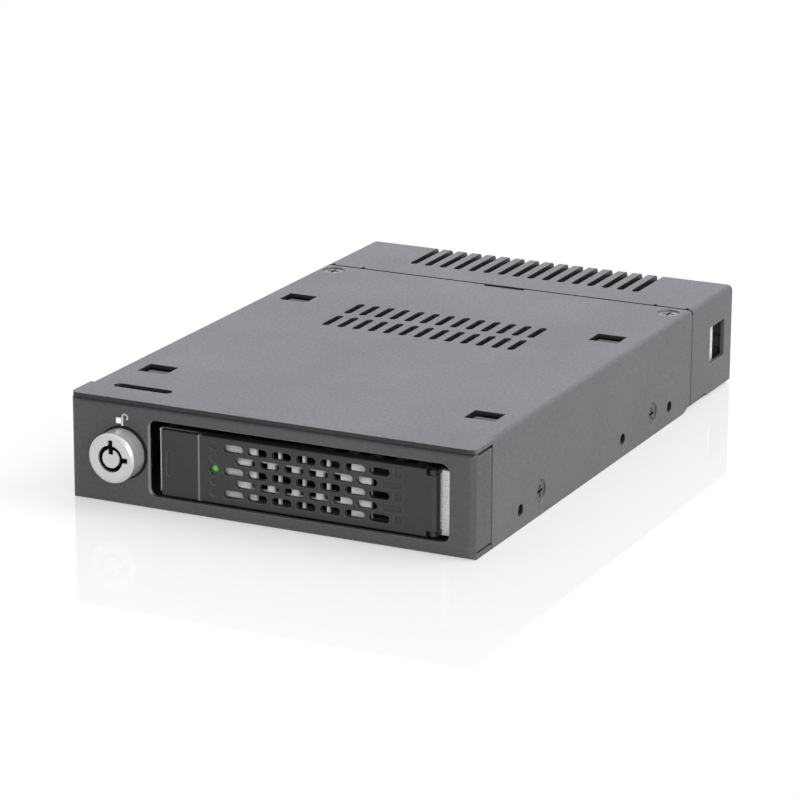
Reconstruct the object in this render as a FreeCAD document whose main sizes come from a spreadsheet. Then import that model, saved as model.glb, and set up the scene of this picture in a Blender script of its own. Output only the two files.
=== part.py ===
import FreeCAD, Part
import math
import os
import re

import Sketcher
from FreeCAD import Placement, Rotation, Vector

# SSD enclosure: a case for a 3.5-inch bay with a pull-out tray for one 2.5-inch drive.
# Millimetres, +X right, +Y to the back, +Z up, origin in the middle of the underside.
SIZES = {
    # The case and its sheets
    "body_width": 101.6,
    "body_height": 25.4,
    "body_depth": 158.0,
    "base_sheet": 1.2,
    "cover_sheet": 1.0,
    "inner_bend": 0.3,
    "panel_gap": 0.4,
    "nest_gap": 0.1,
    "bezel_depth": 9.0,
    "tongue_gap": 0.15,
    "corner_relief": 0.6,
    "tongue_corner": 1.8,
    "flange_height": 10.0,
    # The rear cap
    "cap_depth": 28.7,
    "cap_sheet": 1.0,
    "cap_inner_bend": 0.4,
    "cap_lift": 0.7,
    "cap_step": 0.6,
    "cap_step_reach": 10.7,
    "cap_tab_width": 7.6,
    "cap_tab_inset": 2.3,
    "cap_tab_reach": 9.5,
    "cap_tab_gap": 0.2,
    "cap_tab_relief": 0.9,
    "cap_tab_relief_depth": 1.3,
    "cap_seam_trim": 0.4,
    "cap_slot_count": 16,
    "cap_slot_pitch": 4.12,
    "cap_slot_width": 2.0,
    "cap_slot_reach": 18.3,
    "cap_slot_drop": 0.2,
    "side_window_length": 10.0,
    "side_window_height": 9.5,
    "side_window_rear": 6.1,
    "side_window_low": 8.4,
    "rear_tab_width": 5.0,
    "rear_tab_height": 12.0,
    "rear_screw_height": 8.0,
    # Openings in the cover
    "vent_count": 13,
    "vent_pitch": 4.1,
    "vent_width": 1.9,
    "vent_length": 9.4,
    "vent_middle": 87.3,
    "vent_row_gap": 2.6,
    "window_inset": 9.0,
    "window_width": 7.5,
    "window_length": 6.3,
    "window_front": 24.9,
    "window_rear": 9.7,
    "lock_slot_length": 15.0,
    "lock_slot_width": 2.8,
    "lock_slot_depth": 9.5,
    "seam_notch_width": 11.0,
    "seam_notch_depth": 1.1,
    "cover_corner_rise": 1.4,
    "cover_corner_run": 4.4,
    # Mounting holes and flat-head screws
    "mount_hole_radius": 1.5,
    "mount_hole_height": 4.4,
    "mount_hole_front": 25.0,
    "mount_hole_rear": 14.3,
    "mount_hole_between": 30.0,
    "thread_radius": 1.25,
    "side_screw_height": 5.7,
    "side_screw_front": 36.3,
    "side_screw_rear": 25.5,
    "top_screw_inset": 4.6,
    "top_screw_rear": 4.6,
    "screw_head_radius": 2.63,
    "screw_head_sink": 0.25,
    "screw_length": 3.6,
    "screw_shank_radius": 1.2,
    "countersink_radius": 2.9,
    "cross_length": 3.0,
    "cross_width": 0.6,
    "cross_depth": 0.6,
    # Drive and tray
    "drive_length": 100.45,
    "drive_gap": 0.45,
    "drive_hole_inset": 4.065,
    "drive_hole_along": 76.6,
    "drive_hole_end": 14.0,
    "drive_hole_radius": 1.6,
    "tray_wall": 1.2,
    "tray_inset": 6.5,
    "tray_setback": 2.65,
    "tray_headroom": 3.2,
    "tray_slot_margin": 7.5,
    "tray_slot_pitch": 6.1,
    "tray_slot_width": 3.0,
    "tray_slot_length": 14.0,
    "pipe_lane": 0.85,
    "pipe_thickness": 0.7,
    "pipe_height": 1.6,
    "pipe_rise": 1.7,
    "cross_lane": 2.2,
    "bay_gap": 0.5,
    "lane_gap": 0.9,
    "slide_gap": 0.3,
    "opening_rim": 2.85,
    "opening_corner": 2.0,
    # Guide rails
    "rail_front": 20.0,
    "rail_setback": 1.75,
    "rail_web": 1.8,
    "rail_gap": 0.4,
    "ledge_height": 2.0,
    "ledge_reach": 3.4,
    "lip_height": 1.5,
    "rail_foot": 1.8,
    "left_foot": 6.1,
    "rail_top_gap": 0.3,
    "rail_flange": 1.2,
    "hook_width": 5.4,
    "hook_length": 3.6,
    "hook_drop": 0.8,
    "rail_screw_end": 12.0,
    "low_head_radius": 2.1,
    "low_head_height": 0.55,
    "rail_screw_bite": 1.7,
    # Door, hinge and release button
    "door_recess": 1.0,
    "door_depth": 2.8,
    "door_gap": 0.3,
    "door_top_gap": 2.1,
    "door_right_gap": 3.4,
    "door_skin": 1.2,
    "door_rim": 1.3,
    "door_edge": 0.4,
    "plate_sheet": 1.0,
    "hinge_pin_radius": 0.55,
    "running_gap": 0.06,
    "hinge_notch": 1.5,
    "lug_height": 1.1,
    "lug_radius": 1.15,
    "lug_room": 0.3,
    "button_width": 9.8,
    "button_seam": 0.3,
    "button_left_gap": 2.8,
    "button_plate": 1.2,
    "button_pin_radius": 0.4,
    "button_pin_depth": 1.95,
    "knuckle_radius": 0.75,
    "knuckle_height": 2.6,
    "knuckle_room": 0.2,
    "button_lug": 1.4,
    "spring_tongue": 0.7,
    "tongue_room": 0.7,
    "spring_sheet": 0.15,
    "spring_width": 2.6,
    "hook_arm": 1.0,
    "hook_nose": 0.5,
    "hook_height": 3.0,
    "hook_fall": 4.3,
    "hook_room": 0.6,
    "grip_bar_width": 1.4,
    "grip_bar_length": 6.2,
    "grip_bar_inset": 2.1,
    "grip_bar_depth": 0.35,
    # Grille of the door
    "slot_pitch": 6.1,
    "slot_width": 5.1,
    "slot_height": 1.9,
    "grille_margin": 2.5,
    "grille_rise": 0.2,
    "slot_first": 5.8,
    "plate_blank_columns": 3,
    "plate_drop": 1.0,
    "plate_rib": 0.8,
    "plate_row_ease": 0.4,
    "plate_bar": 0.6,
    "plate_bar_place": 0.25,
    "plate_wide_bar": 1.8,
    "plate_wide_bar_place": 0.6,
    "plate_window_lead": 0.95,
    "plate_window_width": 5.0,
    "blind_depth": 0.4,
    "blind_end": 8.5,
    "led_radius": 1.15,
    "led_inset": 3.5,
    "dimple_radius": 1.0,
    "dimple_depth": 0.3,
    # Key lock
    "lock_side": 20.2,
    "lock_inset": 6.5,
    "lock_rise": 0.1,
    "lock_head_radius": 5.85,
    "lock_head_length": 5.9,
    "lock_head_bevel": 0.6,
    "lock_thread_radius": 4.9,
    "lock_length": 13.0,
    "lock_bore": 3.15,
    "lock_post_radius": 2.2,
    "lock_post_sink": 0.2,
    "lock_key_depth": 3.9,
    "lock_notch_width": 1.2,
    "lock_notch_reach": 4.4,
    "lock_notch_depth": 2.4,
    "lock_pin_count": 7,
    "lock_pin_radius": 0.35,
    "lock_pin_length": 0.6,
    "lock_washer_radius": 6.3,
    "lock_washer_height": 0.6,
    "lock_nut_across": 12.0,
    "lock_nut_height": 3.0,
    "cam_sheet": 1.2,
    "cam_gap": 0.2,
    "cam_reach": 8.6,
    "cam_tip_radius": 2.5,
    "cam_hub_radius": 3.2,
    "cam_square": 2.9,
    "cam_room": 0.7,
    # Circuit board and its connectors
    "board_sheet": 1.6,
    "board_side_gap": 5.8,
    "board_front_gap": 0.9,
    "board_rear_gap": 1.6,
    "standoff_height": 2.0,
    "standoff_radius": 2.6,
    "board_hole_radius": 1.6,
    "board_hole_inset": 4.6,
    "board_hole_middle": 18.0,
    "pan_head_radius": 2.5,
    "pan_head_height": 1.5,
    "pan_screw_bite": 3.2,
    "socket_width": 45.0,
    "socket_depth": 9.0,
    "socket_height": 6.6,
    "nose_inset": 2.0,
    "nose_reach": 5.0,
    "nose_height": 3.6,
    "nose_slot": 1.3,
    "data_port_width": 17.0,
    "data_port_height": 9.2,
    "data_port_depth": 25.0,
    "data_port_inset": 6.4,
    "data_port_wall": 0.9,
    "data_port_cavity": 14.0,
    "port_gap": 0.3,
    "port_proud": 0.6,
    "power_port_width": 24.0,
    "power_port_height": 6.4,
    "power_port_depth": 11.5,
    "power_port_inset": 15.0,
    "power_port_wall": 1.1,
    "power_port_cavity": 7.0,
    "power_tongue": 1.3,
    "power_key": 2.2,
    "chip_side": 12.0,
    "chip_height": 1.2,
    "led_block_width": 2.2,
    "led_block_depth": 2.2,
}

doc = FreeCAD.newDocument("ssd_enclosure")
sheet = doc.addObject("Spreadsheet::Sheet", "Sizes")
for row, (alias, value) in enumerate(SIZES.items(), 1):
    sheet.set(f"A{row}", alias)
    sheet.set(f"B{row}", str(value))
    sheet.setAlias(f"B{row}", alias)
doc.recompute()

# Places that several pieces share, as formulas of the sizes
FRONT = "(-body_depth/2)"
REAR = "(body_depth/2)"
SIDE = "(body_width/2)"
TOP = "body_height"
TOP_INSIDE = "(body_height - cover_sheet)"
BEZEL_TOP = "(body_height - cover_sheet - tongue_gap)"
BASE_BEND = "(base_sheet + inner_bend)"
COVER_FRONT = f"({FRONT} + bezel_depth + panel_gap)"
SEAM = f"({REAR} - cap_depth)"
CAP_FRONT = f"({SEAM} + panel_gap/2)"
FLOOR_SIDE = "(body_width/2 - cover_sheet - nest_gap)"
FLOOR_REAR = f"({REAR} - cap_sheet - nest_gap)"
TRAY_RIGHT = "(body_width/2 - tray_inset)"
TRAY_INNER_RIGHT = f"({TRAY_RIGHT} - tray_wall)"
OPEN_LEFT = f"(lock_side - {SIDE})"
LANE_LEFT = f"({OPEN_LEFT} + lane_gap)"
TRAY_LEFT = f"({LANE_LEFT} + pipe_lane)"
TRAY_INNER_LEFT = f"({TRAY_LEFT} + tray_wall)"
DRIVE_MIDDLE = f"(({TRAY_INNER_LEFT} + {TRAY_INNER_RIGHT})/2)"
OPEN_RIGHT = f"({TRAY_RIGHT} + bay_gap)"
OPEN_LOW = "(base_sheet + ledge_height)"
OPEN_HIGH = f"({BEZEL_TOP} - opening_rim)"
TRAY_LOW = f"({OPEN_LOW} + slide_gap)"
RAIL_TOP = f"({TOP_INSIDE} - cap_tab_gap - cap_sheet - rail_top_gap)"
TRAY_TOP = f"({RAIL_TOP} - rail_flange - tray_headroom)"
DRIVE_LOW = f"({TRAY_LOW} + tray_wall)"
DOOR_FRONT = f"({FRONT} + door_recess)"
DOOR_BACK = f"({DOOR_FRONT} + door_depth)"
DOOR_TOP = f"({OPEN_HIGH} - door_top_gap)"
DOOR_MIDDLE = f"(({TRAY_LOW} + {DOOR_TOP})/2)"
GRILLE_MIDDLE = f"({DOOR_MIDDLE} + grille_rise)"
ROW_PITCH = f"(({DOOR_TOP} - {TRAY_LOW} - 2*grille_margin)/4)"
PLATE_FRONT = f"({DOOR_BACK} + door_gap)"
PLATE_BACK = f"({PLATE_FRONT} + plate_sheet)"
DRIVE_FRONT = f"({PLATE_BACK} + cross_lane)"
DRIVE_REAR = f"({DRIVE_FRONT} + drive_length)"
HINGE_X = f"({OPEN_RIGHT} - door_right_gap - door_depth/2)"
HINGE_Y = f"({DOOR_FRONT} + door_depth/2)"
BUTTON_LEFT = f"({OPEN_LEFT} + button_left_gap)"
BUTTON_RIGHT = f"({BUTTON_LEFT} + button_width)"
DOOR_LEFT = f"({BUTTON_RIGHT} + button_seam)"
BUTTON_PIN_X = f"({BUTTON_RIGHT} - knuckle_radius - running_gap)"
BUTTON_PIN_Y = f"({DOOR_FRONT} + button_pin_depth)"
HOOK_LEFT = f"({BUTTON_LEFT} + 2*hook_room - door_recess/2)"
HOOK_LOW = f"({TRAY_TOP} - hook_fall)"
LED_X = f"({DOOR_LEFT} + led_inset)"
SLOT_X = f"({DOOR_LEFT} + slot_first)"
SLOT_BETWEEN_X = f"({SLOT_X} + slot_pitch/2)"
BLIND_RIGHT = f"({HINGE_X} + door_depth/2 - blind_end)"
SLOT_COUNT = f"floor(({BLIND_RIGHT} - {SLOT_X})/slot_pitch)"
SLOT_COUNT_BETWEEN = f"floor(({BLIND_RIGHT} - {SLOT_BETWEEN_X})/slot_pitch)"
LOCK_X = f"({OPEN_LEFT} - lock_inset)"
LOCK_Z = "(body_height/2 + lock_rise)"
RAIL_FRONT = f"({FRONT} + rail_front)"
RAIL_REAR = f"({DRIVE_REAR} - rail_setback)"
WINDOW_X = "(body_width/2 - window_inset)"
WINDOWS_Y = [f"({FRONT} + window_front)", f"({RAIL_REAR} - window_rear)"]
BOARD_FRONT = f"({DRIVE_REAR} + board_front_gap)"
BOARD_REAR = f"({REAR} - cap_sheet - board_rear_gap)"
BOARD_LOW = "(base_sheet + standoff_height)"
BOARD_TOP = "(base_sheet + standoff_height + board_sheet)"
BOARD_SIDE = "(body_width/2 - board_side_gap)"
BOARD_HOLE_X = f"({BOARD_SIDE} - board_hole_inset)"
BOARD_HOLE_FRONT = f"({BOARD_FRONT} + board_hole_inset)"
BOARD_HOLE_REAR = f"({BOARD_REAR} - board_hole_inset)"
DATA_PORT_RIGHT = "(body_width/2 - data_port_inset)"
DATA_PORT_LEFT = f"({DATA_PORT_RIGHT} - data_port_width)"
POWER_PORT_LEFT = "(-body_width/2 + power_port_inset)"
POWER_PORT_RIGHT = f"({POWER_PORT_LEFT} + power_port_width)"
PORT_REAR = f"({REAR} - cap_sheet + port_proud)"
REAR_SCREW_X = f"({FLOOR_SIDE} - rear_tab_width/2)"
REAR_SCREWS = [(REAR_SCREW_X, "rear_screw_height"), (f"-{REAR_SCREW_X}", "rear_screw_height")]
MOUNT_HOLES = [
    f"({FRONT} + mount_hole_front)",
    f"({SEAM} - mount_hole_rear - mount_hole_between)",
    f"({SEAM} - mount_hole_rear)",
]
SIDE_SCREWS = [
    f"({FRONT} + side_screw_front)",
    f"({SEAM} - side_screw_rear)",
]
TOP_SCREW_X = "(body_width/2 - top_screw_inset)"
TOP_SCREW_Y = f"({SEAM} - top_screw_rear)"
TOP_SCREWS = [(TOP_SCREW_X, TOP_SCREW_Y), (f"-{TOP_SCREW_X}", TOP_SCREW_Y)]
RAIL_SCREWS = [
    f"({RAIL_FRONT} + rail_screw_end)",
    f"({RAIL_REAR} - rail_screw_end)",
]

# How far a cut runs past the faces it goes through
PAST = "cover_sheet"

subparts = []


def bound(formula):
    """The formula with every size spelled as a cell of the sheet."""
    words = re.compile(r"[a-z_]+")
    return words.sub(lambda word: f"Sizes.{word.group()}" if word.group() in SIZES else word.group(), formula)


def size(formula):
    """The formula's value in millimetres."""
    return float(sheet.evalExpression(bound(formula)))


def new_body(label):
    body = doc.addObject("PartDesign::Body", label)
    body.Label = label
    subparts.append(body)
    return body


def origin_feature(body, role):
    return next(feature for feature in body.Origin.OriginFeatures if feature.Role == role)


def new_sketch(body, name, plane, offset="0"):
    sketch = body.newObject("Sketcher::SketchObject", name)
    sketch.AttachmentSupport = [(origin_feature(body, plane), "")]
    sketch.MapMode = "FlatFace"
    sketch.setExpression("AttachmentOffset.Base.z", bound(offset))
    return sketch


def fix(sketch, kind, references, formula):
    """Adds a dimension to the sketch, bound to the sheet."""
    index = sketch.addConstraint(Sketcher.Constraint(kind, *references, size(formula)))
    sketch.setExpression(f"Constraints[{index}]", bound(formula))


def fix_point(sketch, geometry, point, across, up):
    fix(sketch, "DistanceX", (-1, 1, geometry, point), across)
    fix(sketch, "DistanceY", (-1, 1, geometry, point), up)


def polygon(sketch, corners):
    """A closed outline with straight sides through the corners."""
    first = sketch.GeometryCount
    points = [Vector(size(across), size(up), 0) for across, up in corners]
    count = len(points)
    for index, point in enumerate(points):
        sketch.addGeometry(Part.LineSegment(point, points[(index + 1) % count]), False)
    for index, (across, up) in enumerate(corners):
        following = first + (index + 1) % count
        sketch.addConstraint(Sketcher.Constraint("Coincident", first + index, 2, following, 1))
        fix_point(sketch, first + index, 1, across, up)


def rectangle(sketch, left, right, low, high):
    polygon(sketch, [(left, low), (right, low), (right, high), (left, high)])


def circle(sketch, across, up, radius):
    centre = Vector(size(across), size(up), 0)
    index = sketch.addGeometry(Part.Circle(centre, Vector(0, 0, 1), size(radius)), False)
    fix_point(sketch, index, 3, across, up)
    fix(sketch, "Radius", (index,), radius)


def rounded(sketch, centres, radius):
    """The outline round equal circles: a slot from two centres, a soft rectangle from four."""
    first = sketch.GeometryCount
    points = [Vector(size(across), size(up), 0) for across, up in centres]
    count = len(points)
    headings = []
    for index, point in enumerate(points):
        run = points[(index + 1) % count] - point
        headings.append(math.atan2(run.y, run.x) - math.pi / 2)
    arcs = []
    for index, point in enumerate(points):
        start = headings[index - 1]
        end = headings[index]
        while end <= start:
            end += 2 * math.pi
        ring = Part.Circle(point, Vector(0, 0, 1), size(radius))
        arcs.append(Part.ArcOfCircle(ring, start, end))
    for arc in arcs:
        sketch.addGeometry(arc, False)
    for index, arc in enumerate(arcs):
        ahead = arcs[(index + 1) % count]
        sketch.addGeometry(Part.LineSegment(arc.EndPoint, ahead.StartPoint), False)
    for index, (across, up) in enumerate(centres):
        line = first + count + index
        sketch.addConstraint(Sketcher.Constraint("Tangent", first + index, 2, line, 1))
        sketch.addConstraint(Sketcher.Constraint("Tangent", line, 2, first + (index + 1) % count, 1))
        fix_point(sketch, first + index, 3, across, up)
        fix(sketch, "Radius", (first + index,), radius)


def slot(sketch, left, right, low, high, width, upright):
    """A slot with round ends that fills the given box."""
    radius = f"({width})/2"
    if upright:
        middle = f"(({left}) + ({right}))/2"
        centres = [(middle, f"({low}) + {radius}"), (middle, f"({high}) - {radius}")]
    else:
        middle = f"(({low}) + ({high}))/2"
        centres = [(f"({left}) + {radius}", middle), (f"({right}) - {radius}", middle)]
    rounded(sketch, centres, radius)


def soft_rectangle(sketch, left, right, low, high, radius):
    near, far = f"({left}) + ({radius})", f"({right}) - ({radius})"
    under, over = f"({low}) + ({radius})", f"({high}) - ({radius})"
    rounded(sketch, [(near, under), (far, under), (far, over), (near, over)], radius)


def extrude(body, name, plane, low, high, draw, kind):
    """A pad or pocket of the drawn outline between two places along the plane's axis."""
    if plane == "XZ_Plane":
        low, high = f"-({high})", f"-({low})"
    start = low if kind == "PartDesign::Pad" else high
    sketch = new_sketch(body, f"{name}_outline", plane, start)
    draw(sketch)
    feature = body.newObject(kind, name)
    feature.Profile = sketch
    feature.setExpression("Length", bound(f"({high}) - ({low})"))
    return feature


def add(body, name, plane, low, high, draw):
    return extrude(body, name, plane, low, high, draw, "PartDesign::Pad")


def cut(body, name, plane, low, high, draw):
    return extrude(body, name, plane, low, high, draw, "PartDesign::Pocket")


def revolve(body, name, corners):
    """A turned form about the body's Z axis, from a half section of radius and height."""
    sketch = new_sketch(body, f"{name}_section", "XZ_Plane")
    polygon(sketch, corners)
    feature = body.newObject("PartDesign::Revolution", name)
    feature.Profile = sketch
    feature.ReferenceAxis = (sketch, ["V_Axis"])
    feature.Angle = 360
    return feature


def linear_pattern(body, feature, axis, pitch, count):
    pattern = body.newObject("PartDesign::LinearPattern", f"{feature.Name}_row")
    pattern.Originals = [feature]
    pattern.Direction = (origin_feature(body, axis), [""])
    pattern.setExpression("Length", bound(f"{pitch}*({count} - 1)"))
    pattern.setExpression("Occurrences", bound(count))
    body.Tip = pattern
    return pattern


# How near an edge or face lies to the plane it is picked by
NEAR = 1e-4


def within(bound_box, places):
    """True where the box is flat in every plane that is named by its axis."""
    return all(
        abs(getattr(bound_box, axis + end) - place) < NEAR
        for axis, place in places.items()
        for end in ("Min", "Max")
    )


def edges_in(feature, *choices):
    doc.recompute()
    return [
        f"Edge{number}"
        for number, edge in enumerate(feature.Shape.Edges, 1)
        if any(within(edge.BoundBox, places) for places in choices)
    ]


def round_edges(body, feature, name, radius, *choices):
    fillet = body.newObject("PartDesign::Fillet", name)
    fillet.Base = (feature, edges_in(feature, *choices))
    fillet.setExpression("Radius", bound(radius))
    return fillet


def hollow(body, feature, name, wall, *choices):
    """Turns a block into a bent sheet: the faces in the named planes are open."""
    doc.recompute()
    faces = [
        f"Face{number}"
        for number, face in enumerate(feature.Shape.Faces, 1)
        if any(within(face.BoundBox, places) for places in choices)
    ]
    shell = body.newObject("PartDesign::Thickness", name)
    shell.Base = (feature, faces)
    shell.setExpression("Value", bound(wall))
    shell.Reversed = True
    return shell


def countersink(body, name, plane, face, places, flipped=False):
    """Cone-shaped seats for flat-head screws, sunk from the face through the sheet."""
    sketch = new_sketch(body, f"{name}_outline", plane, face)
    for across, up in places:
        circle(sketch, across, up, "countersink_radius")
    pocket = body.newObject("PartDesign::Pocket", name)
    pocket.Profile = sketch
    pocket.setExpression("Length", bound("cover_sheet"))
    pocket.TaperAngle = -45
    pocket.Reversed = flipped


def group_of(label, pattern_body, places, rotation_of):
    """Like pieces in one node, each a separate solid at its own place."""
    links = []
    for number, (x, y, z) in enumerate(places, 1):
        link = doc.addObject("App::Link", f"{label}_{number}")
        link.LinkedObject = pattern_body
        link.Placement = Placement(Vector(), rotation_of(number - 1))
        link.setExpression("Placement.Base.x", bound(x))
        link.setExpression("Placement.Base.y", bound(y))
        link.setExpression("Placement.Base.z", bound(z))
        links.append(link)
    group = doc.addObject("Part::Compound", label)
    group.Label = label
    group.Links = links
    subparts.append(group)
    return group


def template(label):
    """A body that is repeated by links and isn't a piece by itself."""
    body = new_body(label)
    subparts.remove(body)
    return body


# Base chassis: bottom sheet, bezel with its returns, side flanges and rear tabs
def make_base_chassis():
    body = new_body("base_chassis")
    front, back = size(FRONT), size(f"{FRONT} + bezel_depth")
    block = add(
        body, "bezel_block", "XZ_Plane", FRONT, f"{FRONT} + bezel_depth",
        lambda s: rectangle(s, f"-{SIDE}", SIDE, "0", BEZEL_TOP),
    )
    bends = round_edges(body, block, "bezel_bends", BASE_BEND, {"Y": front})
    hollow(body, bends, "bezel_shell", "base_sheet", {"Y": back})
    relief_y = (f"{FRONT} + {BASE_BEND}", f"{FRONT} + bezel_depth + {PAST}")

    def corner_strips(sketch):
        inner = f"{SIDE} - {BASE_BEND}"
        rectangle(sketch, inner, f"{SIDE} + {PAST}", *relief_y)
        rectangle(sketch, f"-{SIDE} - {PAST}", f"-({inner})", *relief_y)

    cut(body, "lower_relief", "XY_Plane", "base_sheet", "base_sheet + corner_relief", corner_strips)
    upper = (f"{BEZEL_TOP} - corner_relief", f"{BEZEL_TOP} + {PAST}")
    cut(body, "upper_relief", "XY_Plane", *upper, corner_strips)
    add(
        body, "floor", "XY_Plane", "0", "base_sheet",
        lambda s: rectangle(
            s, f"-{FLOOR_SIDE}", FLOOR_SIDE, f"{FRONT} + bezel_depth - base_sheet", FLOOR_REAR
        ),
    )

    def flange_strips(sketch):
        inner = f"{FLOOR_SIDE} - base_sheet"
        rectangle(sketch, inner, FLOOR_SIDE, COVER_FRONT, f"{SEAM} - panel_gap")
        rectangle(sketch, f"-{FLOOR_SIDE}", f"-({inner})", COVER_FRONT, f"{SEAM} - panel_gap")

    add(body, "side_flanges", "XY_Plane", "0", "flange_height", flange_strips)

    def rear_tabs(sketch):
        inner = f"{FLOOR_SIDE} - rear_tab_width"
        rectangle(sketch, inner, FLOOR_SIDE, f"{FLOOR_REAR} - base_sheet", FLOOR_REAR)
        rectangle(sketch, f"-{FLOOR_SIDE}", f"-({inner})", f"{FLOOR_REAR} - base_sheet", FLOOR_REAR)

    tabs = add(body, "rear_tabs", "XY_Plane", "0", "rear_tab_height", rear_tabs)
    side, rear = size(FLOOR_SIDE), size(FLOOR_REAR)
    round_edges(
        body, tabs, "rear_corners", "cap_inner_bend - nest_gap",
        {"X": side, "Y": rear}, {"X": -side, "Y": rear},
    )
    face = (f"{FRONT} - {PAST}", f"{FRONT} + base_sheet + {PAST}")
    cut(
        body, "tray_opening", "XZ_Plane", *face,
        lambda s: soft_rectangle(s, OPEN_LEFT, OPEN_RIGHT, OPEN_LOW, OPEN_HIGH, "opening_corner"),
    )
    cut(
        body, "lock_hole", "XZ_Plane", *face,
        lambda s: circle(s, LOCK_X, LOCK_Z, "lock_thread_radius + nest_gap"),
    )

    def side_threads(sketch):
        for place in MOUNT_HOLES:
            circle(sketch, place, "mount_hole_height", "mount_hole_radius")
        for place in SIDE_SCREWS:
            circle(sketch, place, "side_screw_height", "thread_radius")

    cut(body, "side_threads", "YZ_Plane", f"-{SIDE}", SIDE, side_threads)
    cut(
        body, "rear_threads", "XZ_Plane", f"{FLOOR_REAR} - 2*base_sheet", f"{FLOOR_REAR} + {PAST}",
        lambda s: [circle(s, x, z, "thread_radius") for x, z in REAR_SCREWS],
    )
    cut(
        body, "rail_screw_holes", "XY_Plane", f"-{PAST}", f"base_sheet + {PAST}",
        lambda s: [circle(s, x, y, "thread_radius") for x, y, z in RAIL_SCREW_PLACES],
    )
    cut(
        body, "rail_screw_seats", "XY_Plane", f"-{PAST}", "low_head_height + nest_gap/2",
        lambda s: [circle(s, x, y, "low_head_radius + nest_gap") for x, y, z in RAIL_SCREW_PLACES],
    )


# Top cover: one sheet folded over the top and both sides, with a tongue over the bezel
def make_top_cover():
    body = new_body("top_cover")
    rear = f"{SEAM} - panel_gap/2"
    block = add(
        body, "cover_block", "XZ_Plane", COVER_FRONT, rear,
        lambda s: rectangle(s, f"-{SIDE}", SIDE, "0", TOP),
    )
    half = size(SIDE)
    top = size(TOP)
    bends = round_edges(
        body, block, "cover_bends", "cover_sheet + inner_bend", {"X": half, "Z": top}, {"X": -half, "Z": top}
    )
    hollow(
        body, bends, "cover_shell", "cover_sheet", {"Z": 0.0}, {"Y": size(COVER_FRONT)}, {"Y": size(rear)}
    )
    tongue = add(
        body, "tongue", "XY_Plane", TOP_INSIDE, TOP,
        lambda s: rectangle(s, f"-{SIDE}", SIDE, FRONT, COVER_FRONT),
    )
    front = size(FRONT)
    round_edges(
        body, tongue, "tongue_corners", "tongue_corner", {"X": half, "Y": front}, {"X": -half, "Y": front}
    )
    through_top = (f"{TOP_INSIDE} - {PAST}", f"{TOP} + {PAST}")
    lock_slot_y = f"{FRONT} + lock_slot_depth"
    cut(
        body, "lock_slot", "XY_Plane", *through_top,
        lambda s: slot(
            s, f"{LOCK_X} - lock_slot_length/2", f"{LOCK_X} + lock_slot_length/2",
            lock_slot_y, lock_slot_y, "lock_slot_width", False,
        ),
    )

    def windows(sketch):
        for middle in WINDOWS_Y:
            for x in (WINDOW_X, f"-{WINDOW_X}"):
                rectangle(
                    sketch, f"{x} - window_width/2", f"{x} + window_width/2",
                    f"{middle} - window_length/2", f"{middle} + window_length/2",
                )

    cut(body, "windows", "XY_Plane", *through_top, windows)

    def first_vents(sketch):
        first = "-vent_pitch*(vent_count - 1)/2"
        middle = f"{FRONT} + vent_middle"
        slot(
            sketch, first, first, f"{middle} - vent_row_gap/2 - vent_length",
            f"{middle} - vent_row_gap/2", "vent_width", True,
        )
        slot(
            sketch, first, first, f"{middle} + vent_row_gap/2",
            f"{middle} + vent_row_gap/2 + vent_length", "vent_width", True,
        )

    vents = cut(body, "vents", "XY_Plane", *through_top, first_vents)
    linear_pattern(body, vents, "X_Axis", "vent_pitch", "vent_count")
    cut(
        body, "seam_notch", "XY_Plane", *through_top,
        lambda s: rectangle(
            s, "-seam_notch_width/2", "seam_notch_width/2", f"{rear} - seam_notch_depth", f"{SEAM} + {PAST}"
        ),
    )
    across = (f"-{SIDE} - {PAST}", f"{SIDE} + {PAST}")
    cut(
        body, "mount_holes", "YZ_Plane", *across,
        lambda s: [circle(s, y, "mount_hole_height", "mount_hole_radius") for y in MOUNT_HOLES],
    )
    cut(
        body, "rear_corners", "YZ_Plane", *across,
        lambda s: polygon(
            s,
            [
                (f"{rear} - cover_corner_run", f"-{PAST}"),
                (f"{rear} + {PAST}", f"-{PAST}"),
                (f"{rear} + {PAST}", "cover_corner_rise"),
                (f"{rear} - cover_corner_run/4", "cover_corner_rise"),
                (f"{rear} - cover_corner_run/2", "cover_corner_rise/2"),
                (f"{rear} - cover_corner_run", "0"),
            ],
        ),
    )
    side_places = [(y, "side_screw_height") for y in SIDE_SCREWS]
    countersink(body, "right_screw_seats", "YZ_Plane", SIDE, side_places)
    countersink(body, "left_screw_seats", "YZ_Plane", f"-{SIDE}", side_places, True)
    countersink(body, "top_screw_seats", "XY_Plane", TOP, TOP_SCREWS)


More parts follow.
